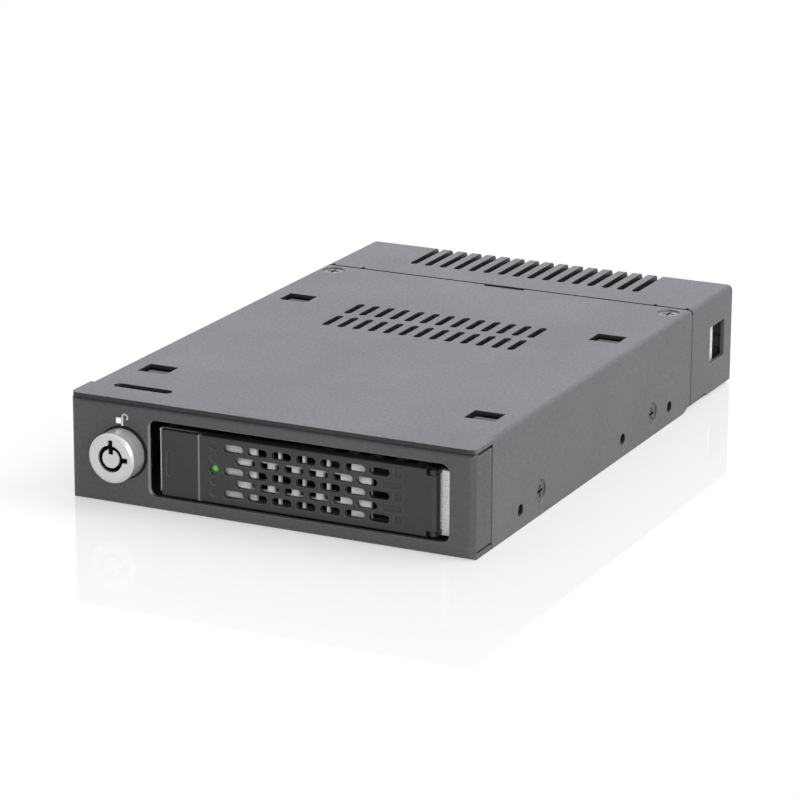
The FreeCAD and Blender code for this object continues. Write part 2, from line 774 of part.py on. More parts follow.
# Rear cap: folded box round the connectors, with slots that run over its rear edge
def make_rear_cap():
    body = new_body("rear_cap")
    block = add(
        body, "cap_block", "XZ_Plane", CAP_FRONT, REAR,
        lambda s: rectangle(s, f"-{SIDE}", SIDE, "cap_lift", TOP),
    )
    half, top, rear = size(SIDE), size(TOP), size(REAR)
    round_edges(
        body, block, "cap_bends", "cap_sheet + cap_inner_bend",
        {"X": half, "Z": top}, {"X": -half, "Z": top}, {"Y": rear, "Z": top},
        {"X": half, "Y": rear}, {"X": -half, "Y": rear},
    )
    inner_side, inner_top = f"({SIDE} - cap_sheet)", f"({TOP} - cap_sheet)"
    inner_rear = f"({REAR} - cap_sheet)"
    room = cut(
        body, "cap_room", "XZ_Plane", f"{CAP_FRONT} - {PAST}", inner_rear,
        lambda s: rectangle(s, f"-{inner_side}", inner_side, "0", inner_top),
    )
    half, top, rear = size(inner_side), size(inner_top), size(inner_rear)
    round_edges(
        body, room, "cap_inner_bends", "cap_inner_bend",
        {"X": half, "Z": top}, {"X": -half, "Z": top}, {"Y": rear, "Z": top},
        {"X": half, "Y": rear}, {"X": -half, "Y": rear},
    )
    tab_outer = f"{SIDE} - cap_tab_inset"
    tab_inner = f"{tab_outer} - cap_tab_width"
    tab_top = f"{TOP_INSIDE} - cap_tab_gap"

    def tab_strips(front, back):
        def draw(sketch):
            rectangle(sketch, tab_inner, tab_outer, front, back)
            rectangle(sketch, f"-({tab_outer})", f"-({tab_inner})", front, back)
        return draw

    seam_edge = f"{CAP_FRONT} + cap_seam_trim"

    def front_trim(sketch):
        before = f"{CAP_FRONT} - {PAST}"
        rectangle(sketch, f"-{SIDE} - {PAST}", f"{SIDE} + {PAST}", before, seam_edge)

    def tab_reliefs(sketch):
        relief_back = f"{CAP_FRONT} + cap_tab_relief_depth"
        for edge, beyond in (
            (tab_outer, f"{tab_outer} + cap_tab_relief"), (f"{tab_inner} - cap_tab_relief", tab_inner),
        ):
            rectangle(sketch, edge, beyond, CAP_FRONT, relief_back)
            rectangle(sketch, f"-({beyond})", f"-({edge})", CAP_FRONT, relief_back)

    through_sheet = (f"{TOP} - cap_sheet - cap_inner_bend", f"{TOP} + {PAST}")
    cut(body, "front_trim", "XY_Plane", *through_sheet, front_trim)
    cut(body, "tab_reliefs", "XY_Plane", *through_sheet, tab_reliefs)
    joggle_back = f"{CAP_FRONT} + 2*cap_sheet"
    add(
        body, "tab_joggles", "XY_Plane", f"{tab_top} - cap_sheet", f"{TOP} - cap_sheet/2",
        tab_strips(seam_edge, joggle_back),
    )
    add(
        body, "tabs", "XY_Plane", f"{tab_top} - cap_sheet", tab_top,
        tab_strips(f"{CAP_FRONT} - cap_tab_reach", joggle_back),
    )
    cut(
        body, "tab_threads", "XY_Plane", f"{tab_top} - cap_sheet - {PAST}", f"{tab_top} + nest_gap",
        lambda s: [circle(s, x, y, "thread_radius") for x, y in TOP_SCREWS],
    )
    first = "-cap_slot_pitch*(cap_slot_count - 1)/2"
    slot_bottom = f"{TOP} - cap_sheet - cap_inner_bend - cap_slot_drop"
    top_slots = cut(
        body, "top_slots", "XY_Plane", slot_bottom, f"{TOP} + {PAST}",
        lambda s: slot(
            s, first, first, f"{REAR} - cap_slot_reach", f"{REAR} + cap_slot_width", "cap_slot_width", True
        ),
    )
    linear_pattern(body, top_slots, "X_Axis", "cap_slot_pitch", "cap_slot_count")
    window_back = f"{REAR} - side_window_rear"
    cut(
        body, "side_window", "YZ_Plane", f"{SIDE} - 2*cap_sheet", f"{SIDE} + {PAST}",
        lambda s: rectangle(
            s, f"{window_back} - side_window_length", window_back, "side_window_low",
            "side_window_low + side_window_height",
        ),
    )
    cut(
        body, "lower_step", "YZ_Plane", f"-{SIDE} - {PAST}", f"{SIDE} + {PAST}",
        lambda s: rectangle(
            s, f"{CAP_FRONT} - {PAST}", f"{CAP_FRONT} + cap_step_reach", "0", "cap_lift + cap_step"
        ),
    )

    def port_windows(sketch):
        rectangle(
            sketch, f"{DATA_PORT_LEFT} - port_gap", f"{DATA_PORT_RIGHT} + port_gap",
            f"{BOARD_TOP} - port_gap", f"{BOARD_TOP} + data_port_height + port_gap",
        )
        rectangle(
            sketch, f"{POWER_PORT_LEFT} - port_gap", f"{POWER_PORT_RIGHT} + port_gap",
            f"{BOARD_TOP} - port_gap", f"{BOARD_TOP} + power_port_height + port_gap",
        )

    cut(body, "port_windows", "XZ_Plane", f"{REAR} - 2*cap_sheet", f"{REAR} + {PAST}", port_windows)
    countersink(body, "rear_screw_seats", "XZ_Plane", f"-{REAR}", REAR_SCREWS, True)


# Guide rails: moulded runners with a ledge under the tray, a lip over it and hooks in the cover's windows
LEFT_WEB = f"({LANE_LEFT} - rail_gap)"
RIGHT_WEB = f"({TRAY_RIGHT} + rail_gap)"
RIGHT_SCREW_X = f"({RIGHT_WEB} + rail_web/2)"
LEFT_SCREW_X = f"({LEFT_WEB} - rail_web - left_foot/2)"
RAIL_SCREW_PLACES = [(x, y, "0") for x in (LEFT_SCREW_X, RIGHT_SCREW_X) for y in RAIL_SCREWS]


def make_guide_rail(label, web_inside, away, foot, lip_end, flange_inside, flange_outside, screw_x):
    """away is + or -, the direction from the tray to the case wall."""
    toward = "-" if away == "+" else "+"
    web_outside = f"{web_inside} {away} rail_web"
    foot_end = f"{web_outside} {away} {foot}"
    ledge_end = f"{web_inside} {toward} ledge_reach"
    lip_low = f"{TRAY_TOP} + rail_gap"
    lip_high = f"{lip_low} + lip_height"
    flange_low = f"{RAIL_TOP} - rail_flange"
    body = new_body(label)
    add(
        body, "rail_profile", "XZ_Plane", RAIL_FRONT, RAIL_REAR,
        lambda s: polygon(
            s,
            [
                (ledge_end, "base_sheet"), (foot_end, "base_sheet"), (foot_end, OPEN_LOW),
                (web_outside, OPEN_LOW), (web_outside, flange_low), (flange_outside, flange_low),
                (flange_outside, RAIL_TOP), (flange_inside, RAIL_TOP), (flange_inside, flange_low),
                (web_inside, flange_low), (web_inside, lip_high), (lip_end, lip_high), (lip_end, lip_low),
                (web_inside, lip_low), (web_inside, OPEN_LOW), (ledge_end, OPEN_LOW),
            ],
        ),
    )
    hook_x = WINDOW_X if away == "+" else f"-{WINDOW_X}"

    def hooks(sketch):
        for middle in WINDOWS_Y:
            start = f"{middle} - window_length/2 + hook_drop"
            left, right = f"{hook_x} - hook_width/2", f"{hook_x} + hook_width/2"
            rectangle(sketch, left, right, start, f"{start} + hook_length")

    add(body, "window_hooks", "XY_Plane", f"{RAIL_TOP} - rail_flange/2", f"{TOP} - hook_drop", hooks)
    cut(
        body, "screw_holes", "XY_Plane", "0", "base_sheet + rail_screw_bite + nest_gap",
        lambda s: [circle(s, screw_x, y, "thread_radius") for y in RAIL_SCREWS],
    )


# Flat-head screws: sunk flush in the cover's sides, its top and the rear cap
def make_flat_screws():
    body = template("flat_screw")
    head_low = "cover_sheet"
    shank_end = "screw_length"
    revolve(
        body, "flat_screw_form",
        [
            ("0", "-screw_head_sink"), ("screw_head_radius", "-screw_head_sink"),
            (f"screw_head_radius - ({head_low} - screw_head_sink)", f"-{head_low}"),
            ("screw_shank_radius", f"-{head_low}"), ("screw_shank_radius", f"-{shank_end}"),
            ("0", f"-{shank_end}"),
        ],
    )

    def cross(sketch):
        arm, half = "cross_length/2", "cross_width/2"
        polygon(
            sketch,
            [
                (half, half), (arm, half), (arm, f"-{half}"), (half, f"-{half}"), (half, f"-{arm}"),
                (f"-{half}", f"-{arm}"), (f"-{half}", f"-{half}"), (f"-{arm}", f"-{half}"), (f"-{arm}", half),
                (f"-{half}", half), (f"-{half}", arm), (half, arm),
            ],
        )

    cut(body, "driver_cross", "XY_Plane", "-screw_head_sink - cross_depth", "nest_gap", cross)
    outward_x = Rotation(Vector(0, 1, 0), 90)
    inward_x = Rotation(Vector(0, 1, 0), -90)
    outward_y = Rotation(Vector(1, 0, 0), -90)
    sides = [(SIDE, y, "side_screw_height") for y in SIDE_SCREWS]
    sides += [(f"-{SIDE}", y, "side_screw_height") for y in SIDE_SCREWS]
    group_of("side_screws", body, sides, lambda number: outward_x if number < len(SIDE_SCREWS) else inward_x)
    tops = [(x, y, TOP) for x, y in TOP_SCREWS]
    group_of("top_screws", body, tops, lambda number: Rotation())
    rears = [(x, REAR, z) for x, z in REAR_SCREWS]
    group_of("rear_screws", body, rears, lambda number: outward_y)


# Low-head screws: from below, through the floor into the guide rails
def make_rail_screws():
    body = template("low_screw")
    reach = "base_sheet + rail_screw_bite"
    revolve(
        body, "low_screw_form",
        [
            ("0", "0"), ("low_head_radius", "0"), ("low_head_radius", "low_head_height"),
            ("screw_shank_radius", "low_head_height"), ("screw_shank_radius", reach), ("0", reach),
        ],
    )
    group_of("rail_screws", body, RAIL_SCREW_PLACES, lambda number: Rotation())


# Circuit board on four standoffs, held by pan-head screws
BOARD_HOLES = [
    (BOARD_HOLE_X, BOARD_HOLE_FRONT),
    (f"-{BOARD_HOLE_X}", BOARD_HOLE_FRONT),
    (f"-{BOARD_HOLE_X}", BOARD_HOLE_REAR),
    ("board_hole_middle", BOARD_HOLE_REAR),
]


def make_board():
    board = new_body("main_board")
    add(
        board, "board_sheet", "XY_Plane", BOARD_LOW, BOARD_TOP,
        lambda s: rectangle(s, f"-{BOARD_SIDE}", BOARD_SIDE, BOARD_FRONT, BOARD_REAR),
    )
    cut(
        board, "board_holes", "XY_Plane", f"{BOARD_LOW} - {PAST}", f"{BOARD_TOP} + {PAST}",
        lambda s: [circle(s, x, y, "board_hole_radius") for x, y in BOARD_HOLES],
    )
    standoff = template("standoff")
    revolve(
        standoff, "standoff_form",
        [
            ("thread_radius", "0"), ("standoff_radius", "0"), ("standoff_radius", "standoff_height"),
            ("thread_radius", "standoff_height"),
        ],
    )
    places = [(x, y, "base_sheet") for x, y in BOARD_HOLES]
    group_of("board_standoffs", standoff, places, lambda number: Rotation())
    screw = template("pan_screw")
    revolve(
        screw, "pan_screw_form",
        [
            ("0", "-pan_screw_bite"), ("screw_shank_radius", "-pan_screw_bite"), ("screw_shank_radius", "0"),
            ("pan_head_radius", "0"), ("pan_head_radius", "pan_head_height/2"),
            ("pan_head_radius - pan_head_height/2", "pan_head_height"), ("0", "pan_head_height"),
        ],
    )
    group_of("board_screws", screw, [(x, y, BOARD_TOP) for x, y in BOARD_HOLES], lambda number: Rotation())
    chip = new_body("board_chip")
    chip_y = f"({BOARD_FRONT} + socket_depth + chip_side)"
    add(
        chip, "chip_package", "XY_Plane", BOARD_TOP, f"{BOARD_TOP} + chip_height",
        lambda s: rectangle(
            s, "-chip_side/2", "chip_side/2", f"{chip_y} - chip_side/2", f"{chip_y} + chip_side/2"
        ),
    )
    led = new_body("status_led")
    led_left = f"({LANE_LEFT} + pipe_thickness/2 - led_block_width/2)"
    add(
        led, "led_block", "XY_Plane", BOARD_TOP, f"{DRIVE_LOW} + pipe_rise + pipe_height + nest_gap",
        lambda s: rectangle(
            s, led_left, f"{led_left} + led_block_width", BOARD_FRONT, f"{BOARD_FRONT} + led_block_depth"
        ),
    )


# Connectors: the drive's receptacle, the data cage and the power header
def make_connectors():
    socket = new_body("drive_socket")
    half = "socket_width/2"
    add(
        socket, "socket_block", "XY_Plane", BOARD_TOP, f"{BOARD_TOP} + socket_height",
        lambda s: rectangle(
            s, f"{DRIVE_MIDDLE} - {half}", f"{DRIVE_MIDDLE} + {half}",
            BOARD_FRONT, f"{BOARD_FRONT} + socket_depth",
        ),
    )
    nose_low = f"{BOARD_TOP} + (socket_height - nose_height)/2"
    nose_left = f"{DRIVE_MIDDLE} - {half} + nose_inset"
    nose_right = f"{DRIVE_MIDDLE} + {half} - nose_inset"
    nose_front = f"{DRIVE_REAR} - nose_reach"
    add(
        socket, "socket_nose", "XZ_Plane", nose_front, BOARD_FRONT,
        lambda s: rectangle(s, nose_left, nose_right, nose_low, f"{nose_low} + nose_height"),
    )
    slot_low = f"{nose_low} + (nose_height - nose_slot)/2"
    cut(
        socket, "socket_slot", "XZ_Plane", f"{nose_front} - {PAST}", BOARD_FRONT,
        lambda s: rectangle(
            s, f"{nose_left} + nose_inset/2", f"{nose_right} - nose_inset/2",
            slot_low, f"{slot_low} + nose_slot",
        ),
    )
    data = new_body("data_port")
    data_front = f"{PORT_REAR} - data_port_depth"
    add(
        data, "cage", "XZ_Plane", data_front, PORT_REAR,
        lambda s: rectangle(s, DATA_PORT_LEFT, DATA_PORT_RIGHT, BOARD_TOP, f"{BOARD_TOP} + data_port_height"),
    )
    cut(
        data, "cage_mouth", "XZ_Plane", f"{PORT_REAR} - data_port_cavity", f"{PORT_REAR} + {PAST}",
        lambda s: rectangle(
            s, f"{DATA_PORT_LEFT} + data_port_wall", f"{DATA_PORT_RIGHT} - data_port_wall",
            f"{BOARD_TOP} + data_port_wall", f"{BOARD_TOP} + data_port_height - data_port_wall",
        ),
    )
    power = new_body("power_port")
    power_front = f"{PORT_REAR} - power_port_depth"
    add(
        power, "header", "XZ_Plane", power_front, PORT_REAR,
        lambda s: rectangle(
            s, POWER_PORT_LEFT, POWER_PORT_RIGHT, BOARD_TOP, f"{BOARD_TOP} + power_port_height"
        ),
    )
    mouth_left = f"{POWER_PORT_LEFT} + power_port_wall"
    mouth_right = f"{POWER_PORT_RIGHT} - power_port_wall"
    mouth_low = f"{BOARD_TOP} + power_port_wall"
    mouth_high = f"{BOARD_TOP} + power_port_height - power_port_wall"
    mouth_back = f"{PORT_REAR} - power_port_cavity"
    cut(
        power, "header_mouth", "XZ_Plane", mouth_back, f"{PORT_REAR} + {PAST}",
        lambda s: rectangle(s, mouth_left, mouth_right, mouth_low, mouth_high),
    )
    tongue_low = f"{BOARD_TOP} + (power_port_height - power_tongue)/2"
    tongue_left = f"{mouth_left} + power_port_wall"
    add(
        power, "header_tongue", "XZ_Plane", mouth_back, f"{PORT_REAR} - power_port_wall",
        lambda s: polygon(
            s,
            [
                (tongue_left, tongue_low), (f"{mouth_right} - power_port_wall", tongue_low),
                (f"{mouth_right} - power_port_wall", f"{tongue_low} + power_tongue"),
                (f"{tongue_left} + power_tongue", f"{tongue_low} + power_tongue"),
                (f"{tongue_left} + power_tongue", f"{tongue_low} + power_key"),
                (tongue_left, f"{tongue_low} + power_key"),
            ],
        ),
    )


# Key lock: head, shell, washer and nut stay with the bezel; plug, cam and screw turn
def lock_body(label):
    """A body whose own Z axis is the lock's, pointing out of the bezel."""
    body = new_body(label)
    body.Placement = Placement(Vector(), Rotation(Vector(1, 0, 0), 90))
    body.setExpression("Placement.Base.x", bound(LOCK_X))
    body.setExpression("Placement.Base.y", bound(FRONT))
    body.setExpression("Placement.Base.z", bound(LOCK_Z))
    return body


def make_lock():
    shell = lock_body("lock_shell")
    face = "lock_head_length"
    revolve(
        shell, "shell_form",
        [
            ("lock_bore", "-lock_length"), ("lock_thread_radius", "-lock_length"),
            ("lock_thread_radius", "lock_washer_height"), ("lock_head_radius", "lock_washer_height"),
            ("lock_head_radius", f"{face} - lock_head_bevel"), ("lock_head_radius - lock_head_bevel", face),
            ("lock_bore", face),
        ],
    )

    def index_notches(sketch):
        half = "lock_notch_width/2"
        inside = "lock_bore - lock_notch_width/2"
        rectangle(sketch, f"-{half}", half, inside, "lock_notch_reach")
        rectangle(sketch, inside, "lock_notch_reach", f"-{half}", half)

    cut(shell, "index_notches", "XY_Plane", f"{face} - lock_notch_depth", f"{face} + {PAST}", index_notches)
    washer = lock_body("lock_washer")
    revolve(
        washer, "washer_form",
        [
            ("lock_thread_radius + nest_gap", "0"), ("lock_washer_radius", "0"),
            ("lock_washer_radius", "lock_washer_height/2"),
            ("lock_washer_radius - lock_washer_height/2", "lock_washer_height"),
            ("lock_thread_radius + nest_gap", "lock_washer_height"),
        ],
    )
    nut = lock_body("lock_nut")
    flat = "lock_nut_across/2"
    corner_up, corner_side = f"({flat})/cos(30)", f"({flat})*tan(30)"

    def hexagon(sketch):
        polygon(
            sketch,
            [
                ("0", f"-{corner_up}"), (flat, f"-{corner_side}"), (flat, corner_side),
                ("0", corner_up), (f"-{flat}", corner_side), (f"-{flat}", f"-{corner_side}"),
            ],
        )
        circle(sketch, "0", "0", "lock_thread_radius + nest_gap")

    add(nut, "nut_form", "XY_Plane", "-base_sheet - lock_nut_height", "-base_sheet", hexagon)
    plug = lock_body("lock_plug")
    floor = f"({face} - lock_key_depth)"
    plug_radius = "lock_bore - running_gap"
    revolve(
        plug, "plug_form",
        [
            ("0", "-lock_length - nest_gap"), (plug_radius, "-lock_length - nest_gap"), (plug_radius, floor),
            ("lock_post_radius", floor), ("lock_post_radius", f"{face} - lock_post_sink"),
            ("0", f"{face} - lock_post_sink"),
        ],
    )
    cam_back = "-lock_length - cam_gap - cam_sheet"
    half_square = "cam_square/2"
    add(
        plug, "cam_tail", "XY_Plane", cam_back, "-lock_length",
        lambda s: rectangle(s, f"-{half_square}", half_square, f"-{half_square}", half_square),
    )
    cut(
        plug, "post_notch", "XY_Plane", floor, f"{face} + {PAST}",
        lambda s: rectangle(
            s, "-lock_notch_width/2", "lock_notch_width/2", "lock_post_radius - lock_notch_width", "lock_bore"
        ),
    )
    cut(
        plug, "cam_screw_hole", "XY_Plane", f"{cam_back} - {PAST}", "-lock_length + cam_square",
        lambda s: circle(s, "0", "0", "cam_square/4 + running_gap"),
    )
    key_pin = add(
        plug, "key_pin", "XY_Plane", f"{floor} - nest_gap", f"{floor} + lock_pin_length",
        lambda s: circle(s, "(lock_bore + lock_post_radius)/2 - running_gap", "0", "lock_pin_radius"),
    )
    pins = plug.newObject("PartDesign::PolarPattern", "key_pins")
    pins.Originals = [key_pin]
    pins.Axis = (origin_feature(plug, "Z_Axis"), [""])
    pins.Angle = 360
    pins.setExpression("Occurrences", bound("lock_pin_count"))
    plug.Tip = pins
    cam = lock_body("lock_cam")
    cam_front = "-lock_length - cam_gap"
    add(
        cam, "cam_hub", "XY_Plane", cam_back, cam_front, lambda s: circle(s, "0", "0", "cam_hub_radius")
    )
    add(
        cam, "cam_arm", "XY_Plane", cam_back, cam_front,
        lambda s: slot(s, "0", "0", "-cam_tip_radius", "cam_reach", "2*cam_tip_radius", True),
    )
    cut(
        cam, "cam_hole", "XY_Plane", f"{cam_back} - {PAST}", f"{cam_front} + {PAST}",
        lambda s: rectangle(
            s, f"-{half_square} - running_gap", f"{half_square} + running_gap",
            f"-{half_square} - running_gap", f"{half_square} + running_gap",
        ),
    )
    screw = lock_body("cam_screw")
    revolve(
        screw, "cam_screw_form",
        [
            ("0", f"{cam_back} - pan_head_height"),
            ("pan_head_radius - pan_head_height/2", f"{cam_back} - pan_head_height"),
            ("pan_head_radius", f"{cam_back} - pan_head_height/2"), ("pan_head_radius", cam_back),
            ("cam_square/4", cam_back), ("cam_square/4", "-lock_length + cam_square/2"),
            ("0", "-lock_length + cam_square/2"),
        ],
    )


# Tray: a folded pan for the drive with a bare front plate, hinge lugs and the light pipe
def make_tray():
    pan = new_body("tray_pan")
    rear = f"({DRIVE_REAR} - tray_setback)"
    channel = add(
        pan, "pan_channel", "XZ_Plane", PLATE_BACK, rear,
        lambda s: polygon(
            s,
            [
                (TRAY_LEFT, TRAY_LOW), (TRAY_RIGHT, TRAY_LOW), (TRAY_RIGHT, TRAY_TOP),
                (TRAY_INNER_RIGHT, TRAY_TOP), (TRAY_INNER_RIGHT, DRIVE_LOW), (TRAY_INNER_LEFT, DRIVE_LOW),
                (TRAY_INNER_LEFT, TRAY_TOP), (TRAY_LEFT, TRAY_TOP),
            ],
        ),
    )
    low = size(TRAY_LOW)
    round_edges(
        pan, channel, "pan_bends", "tray_wall - inner_bend",
        {"X": size(TRAY_LEFT), "Z": low}, {"X": size(TRAY_RIGHT), "Z": low},
    )
    pipe_low = f"({DRIVE_LOW} + pipe_rise)"
    cut(
        pan, "pipe_notch", "YZ_Plane", f"{TRAY_LEFT} - {PAST}", f"{TRAY_INNER_LEFT} + {PAST}",
        lambda s: rectangle(
            s, f"{PLATE_BACK} - {PAST}", DRIVE_FRONT,
            f"{pipe_low} - slide_gap", f"{pipe_low} + pipe_height + slide_gap",
        ),
    )
    cam_y = f"({FRONT} + lock_length + cam_gap)"
    cut(
        pan, "lock_notch", "YZ_Plane", f"{TRAY_LEFT} - {PAST}", f"{TRAY_INNER_LEFT} + {PAST}",
        lambda s: rectangle(
            s, f"{cam_y} - cam_room", f"{cam_y} + cam_sheet + cam_room",
            f"{LOCK_Z} - cam_tip_radius - cam_room", f"{LOCK_Z} + 2*cam_tip_radius - cam_room",
        ),
    )
    hole_rear = f"({DRIVE_REAR} - drive_hole_end)"

    def drive_holes(sketch):
        wall_gap = "(drive_gap + drive_hole_inset)"
        for x in (f"{TRAY_INNER_LEFT} + {wall_gap}", f"{TRAY_INNER_RIGHT} - {wall_gap}"):
            for y in (hole_rear, f"{hole_rear} - drive_hole_along"):
                circle(sketch, x, y, "drive_hole_radius")

    through_floor = (f"{TRAY_LOW} - {PAST}", f"{DRIVE_LOW} + {PAST}")
    cut(pan, "drive_holes", "XY_Plane", *through_floor, drive_holes)
    middle = f"({DRIVE_FRONT} + drive_length/2)"
    slot_room = f"({TRAY_INNER_RIGHT} - {TRAY_INNER_LEFT} - 2*tray_slot_margin)"
    slot_count = f"floor({slot_room}/tray_slot_pitch)"
    first = f"({DRIVE_MIDDLE} - tray_slot_pitch*({slot_count} - 1)/2)"

    def first_slots(sketch):
        for row_middle in (f"({middle} - tray_slot_length)", f"({middle} + tray_slot_length)"):
            low, high = f"{row_middle} - tray_slot_length/2", f"{row_middle} + tray_slot_length/2"
            slot(sketch, first, first, low, high, "tray_slot_width", True)

    slots = cut(pan, "floor_slots", "XY_Plane", *through_floor, first_slots)
    linear_pattern(pan, slots, "X_Axis", "tray_slot_pitch", slot_count)

    plate = new_body("tray_front_plate")
    add(
        plate, "plate_sheet", "XZ_Plane", PLATE_FRONT, PLATE_BACK,
        lambda s: rectangle(s, LANE_LEFT, TRAY_RIGHT, TRAY_LOW, TRAY_TOP),
    )
    through_plate = (f"{PLATE_FRONT} - {PAST}", f"{PLATE_BACK} + {PAST}")
    cut(
        plate, "hook_window", "XZ_Plane", *through_plate,
        lambda s: rectangle(
            s, f"{HOOK_LEFT} - hook_room", f"{HOOK_LEFT} + hook_arm + hook_nose + 2*hook_room",
            f"{HOOK_LOW} - slide_gap", f"{HOOK_LOW} + hook_height + slide_gap",
        ),
    )
    cut(
        plate, "light_hole", "XZ_Plane", *through_plate,
        lambda s: circle(s, LED_X, GRILLE_MIDDLE, "pipe_height/2 + slide_gap"),
    )
    plate_middle = f"({GRILLE_MIDDLE} - plate_drop)"
    hole_half = f"({ROW_PITCH} - plate_rib)/2"

    def plate_holes(first, bar_place, bar, heights):
        """One hole in each row, from a bar behind the door's slot to the next bar."""
        def draw(sketch):
            for height in heights:
                rectangle(
                    sketch, f"{first} + {bar_place} + {bar}", f"{first} + {bar_place} + slot_pitch",
                    f"{plate_middle} {height} - {hole_half}", f"{plate_middle} {height} + {hole_half}",
                )
        return draw

    hole_columns = f"({SLOT_COUNT} - plate_blank_columns)"
    outer_rows = (f"+ 2*{ROW_PITCH}", "", f"- 2*{ROW_PITCH}")
    inner_rows = (f"+ {ROW_PITCH} - plate_row_ease", f"- {ROW_PITCH} + plate_row_ease")
    outer = cut(
        plate, "plate_holes", "XZ_Plane", *through_plate,
        plate_holes(f"{SLOT_X} + slot_pitch", "plate_bar_place", "plate_bar", outer_rows),
    )
    linear_pattern(plate, outer, "X_Axis", "slot_pitch", hole_columns)
    inner = cut(
        plate, "plate_holes_between", "XZ_Plane", *through_plate,
        plate_holes(SLOT_BETWEEN_X, "plate_wide_bar_place", "plate_wide_bar", inner_rows),
    )
    linear_pattern(plate, inner, "X_Axis", "slot_pitch", hole_columns)
    window_left = f"({SLOT_X} + slot_pitch*({SLOT_COUNT} - 1) - plate_window_lead)"
    window_half = f"(2*{ROW_PITCH} + {hole_half})"
    cut(
        plate, "plate_window", "XZ_Plane", *through_plate,
        lambda s: rectangle(
            s, window_left, f"{window_left} + plate_window_width",
            f"{plate_middle} - {window_half}", f"{plate_middle} + {window_half}",
        ),
    )

    lugs = template("hinge_lug")
    add(
        lugs, "lug_eye", "XY_Plane", "0", "lug_height",
        lambda s: circle(s, "0", "0", "lug_radius"),
    )
    add(
        lugs, "lug_arm", "XY_Plane", "0", "lug_height",
        lambda s: rectangle(s, "-lug_radius", "lug_radius", "0", f"{PLATE_FRONT} - {HINGE_Y}"),
    )
    cut(
        lugs, "lug_bore", "XY_Plane", f"-{PAST}", f"lug_height + {PAST}",
        lambda s: circle(s, "0", "0", "hinge_pin_radius + running_gap/3"),
    )
    lug_low = f"{TRAY_LOW} + (hinge_notch - lug_height)"
    lug_high = f"{DOOR_TOP} - hinge_notch + running_gap*3"
    group_of(
        "hinge_lugs", lugs, [(HINGE_X, HINGE_Y, f"{lug_low} - running_gap*3"), (HINGE_X, HINGE_Y, lug_high)],
        lambda number: Rotation(),
    )
    pin = new_body("hinge_pin")
    add(
        pin, "hinge_pin_form", "XY_Plane", f"{lug_low} - running_gap*3", f"{lug_high} + lug_height",
        lambda s: circle(s, HINGE_X, HINGE_Y, "hinge_pin_radius"),
    )

    pipe = new_body("light_pipe")
    lane_right = f"({LANE_LEFT} + pipe_thickness)"
    cross_front = f"({PLATE_BACK} + slide_gap)"
    cross_back = f"({cross_front} + pipe_height - slide_gap)"
    riser_left = f"({LED_X} - pipe_height/2)"
    riser_right = f"({LED_X} + pipe_height/2)"
    add(
        pipe, "pipe_run", "XY_Plane", pipe_low, f"{pipe_low} + pipe_height",
        lambda s: polygon(
            s,
            [
                (LANE_LEFT, cross_front), (riser_right, cross_front), (riser_right, cross_back),
                (lane_right, cross_back), (lane_right, f"{rear} + slide_gap"),
                (LANE_LEFT, f"{rear} + slide_gap"),
            ],
        ),
    )
    add(
        pipe, "pipe_riser", "XZ_Plane", cross_front, cross_back,
        lambda s: rectangle(s, riser_left, riser_right, pipe_low, f"{GRILLE_MIDDLE} + pipe_height/2"),
    )
    add(
        pipe, "pipe_end", "XZ_Plane", PLATE_FRONT, cross_front,
        lambda s: circle(s, LED_X, GRILLE_MIDDLE, "pipe_height/2"),
    )


# Rows of the grille, counted up from the door's middle: the outer ones and the offset ones between
OUTER_ROWS = (2, 0, -2)
INNER_ROWS = (1, -1)


def grille_rows(sketch, first, rows):
    """One slot of the grille in each named row."""
    for row_number in rows:
        height = f"({GRILLE_MIDDLE} + {row_number}*{ROW_PITCH})"
        slot(sketch, first, f"{first} + slot_width", height, height, "slot_height", False)


